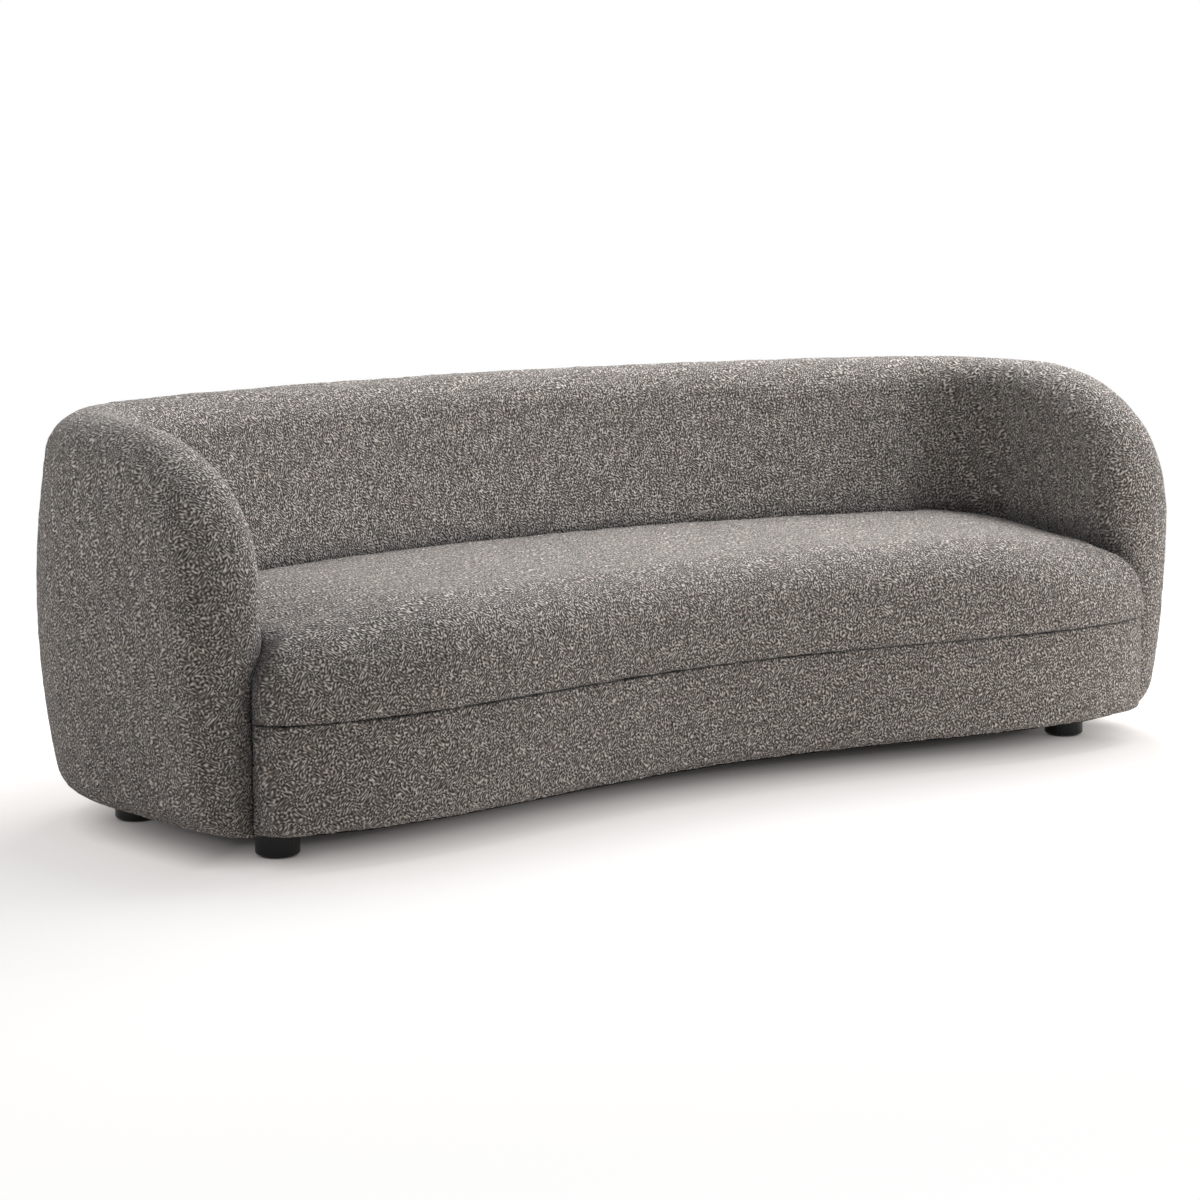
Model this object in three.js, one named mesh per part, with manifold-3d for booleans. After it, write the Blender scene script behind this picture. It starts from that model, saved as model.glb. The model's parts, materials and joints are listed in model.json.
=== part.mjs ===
// A three-seat curved sofa with a wrap-around tub shell, one loose bench cushion and four round feet.
// Millimetres, +X to the sitter's left, +Y to the back, +Z up.
// Every piece is worked out from two plan lines: the spine, which runs through the middle of the shell wall
// from one arm front round the back to the other, and the hollow front line of the seat.
import * as THREE from 'three';
import { mergeVertices } from 'three/addons/utils/BufferGeometryUtils.js';
import Module from 'manifold-3d';

const wasm = await Module();
wasm.setup();

// Plan of the spine: a flat back arc, a tight corner arc and a nearly straight arm arc, mirrored.
const backSpineY = 767;
const backRadius = 2650;
const backAngleDegrees = 18.7;
const cornerRadius = 280;
const cornerAngleDegrees = 74.8;
const armRadius = 2225;
const armLength = 347;

// Shell wall: heights, thickness, barrel belly, hem and crest roundings.
const ridgeHeight = 712;
const undersideHeight = 58;
const ridgeThickness = 133;
const bellyOffset = 99;
const bellyHeight = 393;
const undersideOffset = 63;
const crestRound = 60;
const hemRound = 45;
const armFall = 395;
const armFrontHeight = 408;
const crestPower = 2.55;
const backRecline = 122;

// Seat: front line, rail and cushion.
const frontBulge = 78.5;
const frontBulgeHalfWidth = 750;
const frontCornerRound = 36.2;
const frontRailFaceHeight = 185;
const seatHeight = 416;
const seatArmDrop = 37;

// Fabric and padding.
const fitGap = 0.3;
const coverThickness = 3;
const waddingThickness = 10;
const insideFoamThickness = 40;
const crestFoamThickness = 30;
const hemWidth = 32;
const frontFoamThickness = 15;
const frontHemRound = 12;
const frontHemWidth = 40;
const frontTopRound = 6;
const dustClothThickness = 0.8;
const dustClothMargin = 14;

// Plywood, hardwood and board.
const plywoodThickness = 18;
const bendingBoardThickness = 5;
const baseOutset = 10;
const baseLedgeBack = 30;
const baseLedgeArm = 95;
const baseFrontDepth = 130;
const baseFrontSideInset = 291;
const frontRailThickness = 45;
const frontRailSideInset = 101;
const seatRailDrop = 38;
const crossRailHeight = 105;
const topRailHeight = 20;
const topRailOuterInset = 26;
const topRailInnerInset = 51;
const topRailHeadroom = 14;
const railEndMargin = 20;
const panelJointGap = 5;
const assemblySlack = 1.2;

// Windows in the back ribs.
const ribWindowHalfHeight = 100;
const ribWindowHalfDepth = 42;
const ribWindowCentreHeight = 330;

// Seat springs: sinuous wire in hooks.
const springRows = 4;
const springPitch = 216;
const wireRadius = 1.9;
const springHalfWidth = 25;
const springWave = 76;
const springCrown = 19;
const springTurnShares = [-0.26, 0, 0.26];
const springOverhangShare = 0.19;
const hookWidth = 12;
const hookPlate = 1.2;
const hookClearance = 1.2;
const clipStripWidth = 15;
const deckPadGap = 0.5;

// Cushion.
const cushionCoverThickness = 2.5;
const cushionFrontReach = 120;
const cushionFrontFace = 81;
const cushionWallReach = 20;
const cushionWallFall = 16;
const cushionCrown = 7;
const cushionSlack = 0.8;
const cushionFrontSwell = 5;
const cushionCrownReach = 180;
const zipHeight = 8;
const zipThickness = 1.8;
const zipHalfLength = 600;

// Feet.
const footRadius = 37.4;
const footChamfer = 2.5;
const footTopShadow = 1.5;
const glideRadius = 30;
const glideThickness = 3;
const boltRadius = 4;
const boltEmbed = 32;
const boltFlangeRadius = 12;
const boltFlangeThickness = 2;
const boltHoleSlack = 0.4;
const frontFootSideInset = 102;
const frontFootSetback = 87;
const backFootCornerShare = 0.554;
const backFootInset = 61;

// One overrun serves every cut.
const cutOverrun = 40;

// How finely each curve is divided.
const backSteps = 3;
const cornerSteps = 5;
const armSteps = 4;
const noseSteps = 4;
const hemSteps = 2;
const crestSteps = 3;
const frontSteps = 12;
const frontCornerSteps = 3;
const footSegments = 28;
const boltSegments = 10;
const wireSides = 5;
const tipSearchSteps = 30;
const roundOffShare = 1e-9;

const degree = Math.PI / 180;
const quarterTurn = Math.PI / 2;

const fabric = new THREE.MeshStandardMaterial({ color: 0x8b827a, roughness: 0.96, metalness: 0 });
const foam = new THREE.MeshStandardMaterial({ color: 0xe8dfc4, roughness: 0.9, metalness: 0 });
const plywood = new THREE.MeshStandardMaterial({ color: 0xc9a573, roughness: 0.7, metalness: 0 });
const hardwood = new THREE.MeshStandardMaterial({ color: 0xb98d5c, roughness: 0.65, metalness: 0 });
const board = new THREE.MeshStandardMaterial({ color: 0xa98258, roughness: 0.8, metalness: 0 });
const springSteel = new THREE.MeshStandardMaterial({ color: 0x6f7276, roughness: 0.35, metalness: 0.9 });
const zincSteel = new THREE.MeshStandardMaterial({ color: 0xb4b8bb, roughness: 0.4, metalness: 0.85 });
const blackCloth = new THREE.MeshStandardMaterial({ color: 0x1c1c1e, roughness: 0.95, metalness: 0 });
const felt = new THREE.MeshStandardMaterial({ color: 0x9a968c, roughness: 0.95, metalness: 0 });
const blackLacquer = new THREE.MeshStandardMaterial({ color: 0x151517, roughness: 0.35, metalness: 0 });
const nylon = new THREE.MeshStandardMaterial({ color: 0x2b2b2d, roughness: 0.6, metalness: 0 });

const clamp = THREE.MathUtils.clamp;
const lerp = THREE.MathUtils.lerp;

// Spine

const backArc = backRadius * backAngleDegrees * degree;
const cornerArc = cornerRadius * cornerAngleDegrees * degree;
const halfLength = backArc + cornerArc + armLength;

function spineArcs() {
  const arcs = [];
  let start = 0;
  let heading = 0;
  let point = { x: 0, y: backSpineY };
  for (const [radius, length] of [[backRadius, backArc], [cornerRadius, cornerArc], [armRadius, armLength]]) {
    const centre = { x: point.x - radius * Math.sin(heading), y: point.y - radius * Math.cos(heading) };
    arcs.push({ start, heading, radius, centre });
    start += length;
    heading += length / radius;
    point = { x: centre.x + radius * Math.sin(heading), y: centre.y + radius * Math.cos(heading) };
  }
  return arcs;
}

const arcs = spineArcs();

// The point of the spine at a station, with the outward normal there.
function spineAt(station) {
  const side = station < 0 ? -1 : 1;
  const along = Math.abs(station);
  let arc = arcs[0];
  for (const candidate of arcs) {
    if (along > candidate.start) arc = candidate;
  }
  const heading = arc.heading + (along - arc.start) / arc.radius;
  const sine = Math.sin(heading);
  const cosine = Math.cos(heading);
  return {
    x: side * (arc.centre.x + arc.radius * sine),
    y: arc.centre.y + arc.radius * cosine,
    normalX: side * sine,
    normalY: cosine,
  };
}

function offsetPoint(station, offset, height) {
  const spine = spineAt(station);
  return new THREE.Vector3(spine.x + spine.normalX * offset, spine.y + spine.normalY * offset, height);
}

const spineEnd = spineAt(halfLength);

// Front line of the seat: hollow in the middle, with its rounded corners at the arm fronts

function hollowLine(x) {
  const share = (x / frontBulgeHalfWidth) ** 2;
  return -frontBulge * (2 * share - share * share);
}

const frontLevel = spineEnd.y - frontCornerRound - hollowLine(spineEnd.x);
const frontLine = (x) => frontLevel + hollowLine(x);

function frontSlope(x) {
  const share = (x / frontBulgeHalfWidth) ** 2;
  return (-4 * frontBulge * x * (1 - share)) / (frontBulgeHalfWidth * frontBulgeHalfWidth);
}

// The front line set back by an inset, with its ends rounded back to the arm fronts.
function frontY(x, inset) {
  const round = Math.max(frontCornerRound - inset, frontTopRound);
  const beyond = clamp(Math.abs(x) - (spineEnd.x - inset - round), 0, round);
  const line = frontLine(x) + inset * Math.hypot(1, frontSlope(x));
  return line + round - Math.sqrt(round * round - beyond * beyond);
}

function frontStations(inset) {
  const round = Math.max(frontCornerRound - inset, frontTopRound);
  const straight = spineEnd.x - inset - round;
  const right = [];
  for (let step = 1; step <= frontSteps / 2; step++) right.push((straight * step) / (frontSteps / 2));
  for (let step = 1; step <= frontCornerSteps; step++) {
    right.push(straight + round * Math.sin((quarterTurn * step) / frontCornerSteps));
  }
  return [...right.map((x) => -x).reverse(), 0, ...right];
}

// Straight-line reading of a faceted front line, for pieces that sit on one facet.
function frontFacetY(x, inset) {
  const stops = frontStations(inset);
  const next = Math.max(1, stops.findIndex((stop) => stop >= x));
  const share = (x - stops[next - 1]) / (stops[next] - stops[next - 1]);
  return lerp(frontY(stops[next - 1], inset), frontY(stops[next], inset), share);
}

// Shell wall

// A layer is a skin inside the finished surface, by its depth from each side.
const layer = (outer, inner, edge) => ({ outer, inner, edge });

function outerOffset(height) {
  const above = height > bellyHeight;
  const share = (height - bellyHeight) / ((above ? ridgeHeight : undersideHeight) - bellyHeight);
  return bellyOffset - (bellyOffset - (above ? ridgeThickness / 2 : undersideOffset)) * share * share;
}

function cornerShare(station) {
  return clamp((Math.abs(station) - backArc) / cornerArc, 0, 1);
}

function innerOffset(station, height) {
  const recline = backRecline * (1 - cornerShare(station));
  return ridgeThickness / 2 + recline * clamp((ridgeHeight - height) / (ridgeHeight - seatHeight), 0, 1);
}

// The wall's plan under the seat is read at this height, where its inner side is upright.
const seatPlanHeight = Math.min(seatHeight, armFrontHeight);
const crestEnd = halfLength - armFall;
const armStart = backArc + cornerArc;
const noseStart = halfLength - crestRound;
const panelEnd = lerp(armStart, noseStart, 1 - 1 / armSteps) + fitGap;

function crestHeight(station, edge) {
  const share = clamp((Math.abs(station) - crestEnd) / (armFall - edge), 0, 1);
  const rise = ridgeHeight - armFrontHeight - edge;
  return armFrontHeight + rise * (1 - share ** crestPower) ** (1 / crestPower);
}

// Slope of the crest, as height lost per length of spine.
function crestSlope(station, edge) {
  const share = clamp((Math.abs(station) - crestEnd) / (armFall - edge), 0, 1);
  const left = (1 - share ** crestPower) ** (1 / crestPower);
  const rise = ridgeHeight - armFrontHeight - edge;
  return left > 0 ? (rise / (armFall - edge)) * (share / left) ** (crestPower - 1) : Infinity;
}

// How far the wall has swelled from its edge: 0 on the crest and the arm front, 1 past the rounding.
function fullness(station, height, edge) {
  const span = armFall - edge;
  const rise = ridgeHeight - armFrontHeight - edge;
  const along = clamp((Math.abs(station) - crestEnd) / span, 0, 1);
  const up = Math.max((height - armFrontHeight) / rise, 0);
  const size = (along ** crestPower + up ** crestPower) ** (1 / crestPower);
  if (size === 0) return 1;
  if (size > 1 - roundOffShare) return 0;
  const gradient = Math.hypot(
    (along / size) ** (crestPower - 1) / span,
    (up / size) ** (crestPower - 1) / rise,
  );
  const depth = Math.max(0, (1 - size) / gradient);
  const share = 1 - Math.min(depth / (crestRound - edge), 1);
  return Math.sqrt(1 - share * share);
}

function hemDip(height, skin) {
  const round = hemRound - skin.outer;
  const share = 1 - clamp((height - undersideHeight - skin.outer) / round, 0, 1);
  return round * (1 - Math.sqrt(1 - share * share));
}

function outerSurface(station, height, skin) {
  const offset = outerOffset(height) - skin.outer - hemDip(height, skin);
  return offset * fullness(station, height, skin.edge);
}

function innerSurface(station, height, skin) {
  return -(innerOffset(station, height) - skin.inner) * fullness(station, height, skin.edge);
}

const lowRow = undersideHeight + hemRound;
const seatRowShare = (seatHeight - lowRow) / (ridgeHeight - crestRound - lowRow);
const wallRowShares = [seatRowShare / 2, seatRowShare, (1 + seatRowShare) / 2, 1];
const crestReachShare = 0.6;

// Height where the crest rounding of a layer begins.
function shoulderHeight(station, edge) {
  const top = crestHeight(station, edge);
  const reach = (crestRound - edge) * Math.hypot(1, crestSlope(station, edge));
  return top - Math.min(reach, crestReachShare * (top - lowRow));
}

function wallRows(station, skin) {
  const low = undersideHeight + skin.outer;
  const hem = hemRound - skin.outer;
  const top = crestHeight(station, skin.edge);
  const shoulder = shoulderHeight(station, skin.edge);
  const rows = [];
  for (let step = 0; step <= hemSteps; step++) {
    rows.push(low + hem * (1 - Math.cos((quarterTurn * step) / hemSteps)));
  }
  for (const share of wallRowShares) rows.push(lerp(low + hem, shoulder, share));
  for (let step = 1; step <= crestSteps; step++) {
    rows.push(top - (top - shoulder) * (1 - Math.sin((quarterTurn * step) / crestSteps)));
  }
  return rows;
}

function wallStations(edge) {
  const right = [];
  for (let step = 1; step <= backSteps; step++) right.push((backArc * step) / backSteps);
  for (let step = 1; step <= cornerSteps; step++) right.push(backArc + (cornerArc * step) / cornerSteps);
  for (let step = 1; step <= armSteps; step++) right.push(lerp(armStart, noseStart, step / armSteps));
  for (let step = 1; step <= noseSteps; step++) {
    right.push(noseStart + (crestRound - edge) * Math.sin((quarterTurn * step) / noseSteps));
  }
  return [...right.map((station) => -station).reverse(), 0, ...right];
}

// Straight-line reading of an offset of the faceted spine.
function facetPoint(station, offset, height) {
  const stops = wallStations(0);
  const next = Math.max(1, stops.findIndex((stop) => stop >= station));
  const share = (station - stops[next - 1]) / (stops[next] - stops[next - 1]);
  const from = offsetPoint(stops[next - 1], offset(stops[next - 1]), height);
  return from.lerp(offsetPoint(stops[next], offset(stops[next]), height), share);
}

// Mesh helpers

function meshGeometry(points, faces) {
  const geometry = new THREE.BufferGeometry();
  const numbers = points.flatMap((point) => [point.x, point.y, point.z]);
  geometry.setAttribute('position', new THREE.Float32BufferAttribute(numbers, 3));
  geometry.setIndex(faces.flat());
  return geometry;
}

const mirroredSplit = (count) => (row) => row < (count - 1) / 2;

// Joins rings of equal length into a skin, and closes it with the faces that cap returns for one ring.
// Each quad is split one way, or the other way where crossed says so.
function loft(rings, cap, crossed = () => false) {
  const size = rings[0].length;
  const faces = [];
  for (let row = 0; row + 1 < rings.length; row++) {
    for (let column = 0; column < size; column++) {
      const a = row * size + column;
      const b = row * size + ((column + 1) % size);
      if (crossed(row, column)) faces.push([a, b, a + size], [b, b + size, a + size]);
      else faces.push([a, b, b + size], [a, b + size, a + size]);
    }
  }
  if (cap) {
    const last = (rings.length - 1) * size;
    for (const [a, b, c] of cap(size)) faces.push([c, b, a], [last + a, last + b, last + c]);
  }
  return meshGeometry(rings.flat(), faces);
}

// Cap for a ring that runs up one side of a board and down the other.
function ladderCap(size) {
  const faces = [];
  for (let near = 0; near + 1 < size / 2; near++) {
    const far = size - 1 - near;
    faces.push([near, near + 1, far - 1], [near, far - 1, far]);
  }
  return faces;
}

function fanCap(size) {
  const faces = [];
  for (let corner = 1; corner + 1 < size; corner++) faces.push([0, corner, corner + 1]);
  return faces;
}

function solidOf(geometry) {
  const bare = geometry.clone();
  bare.deleteAttribute('normal');
  bare.deleteAttribute('uv');
  const merged = mergeVertices(bare);
  const index = merged.index.array;
  const position = merged.attributes.position;
  const faces = [];
  let volume = 0;
  const corner = (at) => new THREE.Vector3().fromBufferAttribute(position, at);
  for (let at = 0; at < index.length; at += 3) {
    const [a, b, c] = [index[at], index[at + 1], index[at + 2]];
    if (a === b || b === c || c === a) continue;
    faces.push([a, b, c]);
    volume += corner(a).dot(corner(b).cross(corner(c)));
  }
  const facing = volume > 0 ? faces : faces.map(([a, b, c]) => [a, c, b]);
  return new wasm.Manifold(new wasm.Mesh({
    numProp: 3,
    vertProperties: new Float32Array(position.array),
    triVerts: new Uint32Array(facing.flat()),
  }));
}

function geometryOf(solid) {
  const mesh = solid.getMesh();
  const geometry = new THREE.BufferGeometry();
  geometry.setAttribute('position', new THREE.BufferAttribute(mesh.vertProperties, 3));
  geometry.setIndex(new THREE.BufferAttribute(mesh.triVerts, 1));
  return geometry;
}

// A plan outline pulled up between two heights, with round holes.
function prism(outline, low, high, holes = []) {
  const points = outline.map((point) => new THREE.Vector2(point.x, point.y));
  const shape = new THREE.Shape(THREE.ShapeUtils.isClockWise(points) ? points.reverse() : points);
  for (const hole of holes) {
    const path = new THREE.Path();
    path.absarc(hole.x, hole.y, hole.radius, 0, 2 * Math.PI, true);
    shape.holes.push(path);
  }
  const settings = { depth: high - low, bevelEnabled: false, curveSegments: boltSegments };
  const geometry = new THREE.ExtrudeGeometry(shape, settings);
  geometry.translate(0, 0, low);
  return solidOf(geometry);
}

const slab = (width, depth, height) => new THREE.BoxGeometry(width, depth, height);

const model = new THREE.Group();

function addPart(name, solid, material) {
  const mesh = new THREE.Mesh(geometryOf(solid), material);
  mesh.name = name;
  model.add(mesh);
}

const sides = [['left', -1], ['right', 1]];

// Shell wall solids

// The closed wall of one layer. A skirt drops its floor straight down, to open the solid that it is cut from.
function wallSolid(skin, skirtOffset) {
  const rings = wallStations(skin.edge).map((station) => {
    const rows = wallRows(station, skin);
    const outer = rows.map((height) => offsetPoint(station, outerSurface(station, height, skin), height));
    const inner = rows.map((height) => offsetPoint(station, innerSurface(station, height, skin), height));
    const ring = [...outer, ...inner.slice(0, -1).reverse()];
    if (skirtOffset === undefined) return ring;
    const swell = fullness(station, rows[0], skin.edge);
    const floor = undersideHeight - cutOverrun;
    const start = offsetPoint(station, skirtOffset * swell, floor);
    const step = offsetPoint(station, skirtOffset * swell, rows[0]);
    return [start, step, ...ring, inner[0].clone().setZ(floor)];
  });
  return solidOf(loft(rings, null, mirroredSplit(rings.length)));
}

const hemEdge = outerOffset(undersideHeight) - hemRound;
const hemInnerEdge = hemEdge - hemWidth;
const seamHeight = undersideHeight + frontRailFaceHeight;
const seatRailTop = seamHeight - seatRailDrop;
const tuckHeight = seatRailTop + fitGap;

// The seat well below the tuck line, where the wall has no inner side.
function wellCut() {
  const inset = hemInnerEdge - fitGap;
  const outline = wallStations(-cutOverrun).map((station) => offsetPoint(station, inset, 0));
  return prism(outline, undersideHeight - cutOverrun, tuckHeight);
}

const skins = {
  coverInside: layer(coverThickness, coverThickness, coverThickness),
  foamOutside: layer(coverThickness + fitGap, coverThickness + fitGap, coverThickness + fitGap),
};
const foamInnerDepth = skins.foamOutside.inner + insideFoamThickness;
const foamOuterDepth = skins.foamOutside.outer + waddingThickness;
const foamCrestDepth = skins.foamOutside.edge + crestFoamThickness;
skins.foamInside = layer(foamOuterDepth, foamInnerDepth, foamCrestDepth);
skins.frame = layer(
  foamOuterDepth + bendingBoardThickness + 2 * fitGap,
  foamInnerDepth + bendingBoardThickness + 2 * fitGap,
  foamCrestDepth + fitGap,
);

const baseLow = undersideHeight + coverThickness + fitGap;
const baseTop = baseLow + plywoodThickness;
const standHeight = baseTop + fitGap;

function shellCover(well) {
  return wallSolid(layer(0, 0, 0)).subtract(wallSolid(skins.coverInside, hemInnerEdge)).subtract(well);
}

function shellFoam(well) {
  return wallSolid(skins.foamOutside).subtract(wallSolid(skins.foamInside, baseOutset + fitGap)).subtract(well);
}

function panelStations(from, to) {
  return wallStations(0).filter((station) => station >= from - fitGap && station <= to + fitGap);
}

function mirroredStations(stations, side) {
  return side < 0 ? stations.map((station) => -station).reverse() : stations;
}

const risingRows = (station, first) => {
  const shoulder = shoulderHeight(station, skins.foamInside.edge);
  return [first, ...wallRowShares.map((share) => lerp(lowRow, shoulder, share))];
};

// A bent board between the foam and the ribs, as high as the straight part of the wall.
function bentBoard(stations, first, surface, facing) {
  const rings = stations.map((station) => {
    const side = (depth) => {
      const offset = (height) => (stop) => surface(stop, height) - depth;
      const column = risingRows(station, first).map((height) => facetPoint(station, offset(height), height));
      return facing > 0 ? column : column.reverse();
    };
    return [...side(0), ...side(bendingBoardThickness).reverse()];
  });
  const half = rings[0].length / 2;
  const leftOf = (row) => stations[row] + stations[row + 1] < 0;
  return solidOf(loft(rings, ladderCap, (row, column) => leftOf(row) !== (column >= half)));
}

function addPanels() {
  const outside = (station, height) => outerSurface(station, height, skins.foamInside) - fitGap;
  const insideDepth = fitGap + bendingBoardThickness;
  const inside = (station, height) => innerSurface(station, height, skins.foamInside) + insideDepth;
  const outerBoard = (stations) => bentBoard(stations, lowRow, outside, 1);
  const innerBoard = (stations) => bentBoard(stations, tuckHeight + fitGap, inside, -1);
  const backEnd = backArc - panelJointGap;
  const backSpan = [-backEnd, ...panelStations(-backEnd, backEnd), backEnd];
  const armSpan = panelStations(backEnd, panelEnd);
  addPart('outer_panel_back', outerBoard(backSpan), board);
  addPart('inner_panel_back', innerBoard(backSpan), board);
  for (const [name, side] of sides) {
    const span = mirroredStations(armSpan, side);
    addPart(`outer_panel_${name}`, outerBoard(span), board);
    addPart(`inner_panel_${name}`, innerBoard(span), board);
  }
}

// Base frame

const seatInside = (station) => -innerOffset(station, seatPlanHeight);

function spineBand(stations, outer, inner) {
  const far = stations.map((station) => facetPoint(station, outer, 0));
  const near = stations.map((station) => facetPoint(station, inner, 0));
  return [...far, ...near.reverse()];
}

function footPlaces() {
  const places = [];
  const back = offsetPoint(backArc + cornerArc * backFootCornerShare, -backFootInset, 0);
  for (const [name, side] of sides) {
    const frontX = side * (spineEnd.x - frontFootSideInset);
    places.push({ name: `front_${name}`, x: frontX, y: spineEnd.y + frontFootSetback });
    places.push({ name: `back_${name}`, x: side * back.x, y: back.y });
  }
  return places;
}

const boltHoles = (side) => footPlaces()
  .filter((place) => Math.sign(place.x) === side)
  .map((place) => ({ x: place.x, y: place.y, radius: boltRadius + boltHoleSlack }));

function frontStrip(fromX, toX, nearInset, farInset) {
  const xs = [fromX, ...frontStations(0).filter((x) => x > fromX && x < toX), toX];
  const near = xs.map((x) => new THREE.Vector2(x, frontFacetY(x, nearInset)));
  const far = xs.map((x) => new THREE.Vector2(x, frontFacetY(x, farInset)));
  return [...near, ...far.reverse()];
}

const baseFrontHalfWidth = spineEnd.x - baseFrontSideInset;
const frontRailHalfLength = spineEnd.x - frontRailSideInset;
const frontRailNear = coverThickness + 2 * fitGap + frontFoamThickness;
const frontRailFar = frontRailNear + frontRailThickness;
const flapEnd = frontRailFar - clipStripWidth - assemblySlack;
const rollEnd = flapEnd - coverThickness - fitGap;

function addBase() {
  const ledge = (station) => seatInside(station) - lerp(baseLedgeBack, baseLedgeArm, cornerShare(station));
  const outset = () => baseOutset;
  const backSpan = panelStations(-backArc, backArc);
  addPart('base_back', prism(spineBand(backSpan, outset, ledge), baseLow, baseTop), plywood);
  const frontOutline = frontStrip(-baseFrontHalfWidth, baseFrontHalfWidth, frontRailNear, baseFrontDepth);
  addPart('base_front', prism(frontOutline, baseLow, baseTop), plywood);
  const armSpan = [backArc + fitGap, ...panelStations(backArc + railEndMargin, noseStart)];
  const outer = armSpan.map((station) => facetPoint(station, () => baseOutset, 0));
  const inner = armSpan.map((station) => facetPoint(station, ledge, 0));
  const noseInset = hemInnerEdge - assemblySlack;
  const nose = [noseStart, halfLength].map((station) => offsetPoint(station, noseInset, 0));
  const toeStart = baseFrontHalfWidth + fitGap;
  const toe = frontStrip(toeStart, frontRailHalfLength, frontRailNear, baseFrontDepth);
  const toeFront = toe.slice(0, toe.length / 2).reverse();
  const heel = toe[toe.length - 1];
  const outline = [...outer, ...nose, ...toeFront, heel, ...inner.slice(0, -1).reverse()];
  const clear = baseFrontDepth + cutOverrun;
  const padding = frontBar(0, undersideHeight, standHeight, baseFrontDepth, 0, 0)
    .subtract(frontBar(frontRailNear, baseLow - cutOverrun, standHeight + cutOverrun, clear, 0, 0));
  for (const [name, side] of sides) {
    const placed = outline.map((point) => new THREE.Vector2(side * point.x, point.y));
    addPart(`base_${name}`, prism(placed, baseLow, baseTop, boltHoles(side)).subtract(padding), plywood);
  }
}

function addSeatRails() {
  const railFace = (station) => seatInside(station);
  const railBack = (station) => seatInside(station) - plywoodThickness;
  const rail = (span) => prism(spineBand(span, railFace, railBack), standHeight, seatRailTop);
  addPart('rear_seat_rail', rail(panelStations(-backArc, backArc)), hardwood);
  const railOutline = frontStrip(-frontRailHalfLength, frontRailHalfLength, frontRailNear, frontRailFar);
  addPart('front_seat_rail', prism(railOutline, standHeight, seatRailTop), hardwood);
  const armSpan = [backArc + fitGap, ...panelStations(backArc + railEndMargin, noseStart)];
  for (const [name, side] of sides) {
    addPart(`side_seat_rail_${name}`, rail(mirroredStations(armSpan, side)), hardwood);
    const rear = facetPoint(side * springPitch, railBack, 0);
    const frontEnd = frontFacetY(rear.x, frontRailFar) + assemblySlack;
    const length = rear.y - assemblySlack - frontEnd;
    const board = slab(plywoodThickness, length, crossRailHeight);
    board.translate(rear.x, frontEnd + length / 2, standHeight + crossRailHeight / 2);
    addPart(`cross_rail_${name}`, solidOf(board), plywood);
  }
}

// Ribs and top rail

const topRailTop = ridgeHeight - foamCrestDepth - topRailHeadroom;
const ribTop = topRailTop - topRailHeight - fitGap;

function ribStations() {
  const stops = wallStations(0).filter((station) => station >= 0);
  const middles = stops.slice(1).map((stop, index) => (stop + stops[index]) / 2);
  const back = middles.slice(0, backSteps);
  const corner = middles[backSteps + 1];
  const arm = middles[backSteps + cornerSteps + 1];
  return [...back, corner, arm];
}

function addRibs() {
  const core = wallSolid(skins.frame);
  const footSkin = layer(skins.frame.outer, fitGap, skins.frame.edge);
  const reach = 2 * backRecline + ridgeThickness + bellyOffset;
  const lowSlab = slab(2 * halfLength, 2 * halfLength, tuckHeight - fitGap - undersideHeight);
  lowSlab.translate(0, 0, (tuckHeight - fitGap + undersideHeight) / 2);
  const envelope = core.add(wallSolid(footSkin).intersect(solidOf(lowSlab)));
  const names = ['back_inner', 'back_middle', 'back_outer', 'corner', 'arm'];
  ribStations().forEach((station, index) => {
    for (const [name, side] of sides) {
      const spine = spineAt(side * station);
      const turn = -Math.atan2(spine.normalX, spine.normalY);
      const cut = slab(plywoodThickness, reach, ribTop - standHeight);
      cut.rotateZ(turn);
      cut.translate(spine.x, spine.y, (ribTop + standHeight) / 2);
      let rib = envelope.intersect(solidOf(cut));
      if (index < backSteps) {
        const centre = offsetPoint(side * station, -ribWindowHalfDepth, ribWindowCentreHeight);
        const window = new THREE.CylinderGeometry(
          ribWindowHalfDepth, ribWindowHalfDepth, 2 * plywoodThickness, footSegments / 2,
        );
        window.rotateZ(quarterTurn);
        window.scale(1, 1, ribWindowHalfHeight / ribWindowHalfDepth);
        window.rotateZ(turn);
        window.translate(centre.x, centre.y, centre.z);
        rib = rib.subtract(solidOf(window));
      }
      addPart(`rib_${names[index]}_${name}`, rib, plywood);
    }
  });
}

function addTopRail() {
  const span = panelStations(-crestEnd + railEndMargin, crestEnd - railEndMargin);
  const outer = () => ridgeThickness / 2 - topRailOuterInset;
  const inner = () => topRailInnerInset - ridgeThickness / 2;
  const outline = spineBand(span, outer, inner);
  addPart('top_rail', prism(outline, ribTop + fitGap, topRailTop), plywood);
}

// Springs

const clipStripTop = seatRailTop + fitGap + hookPlate;
const wireHeight = clipStripTop + fitGap + wireRadius;

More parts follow.
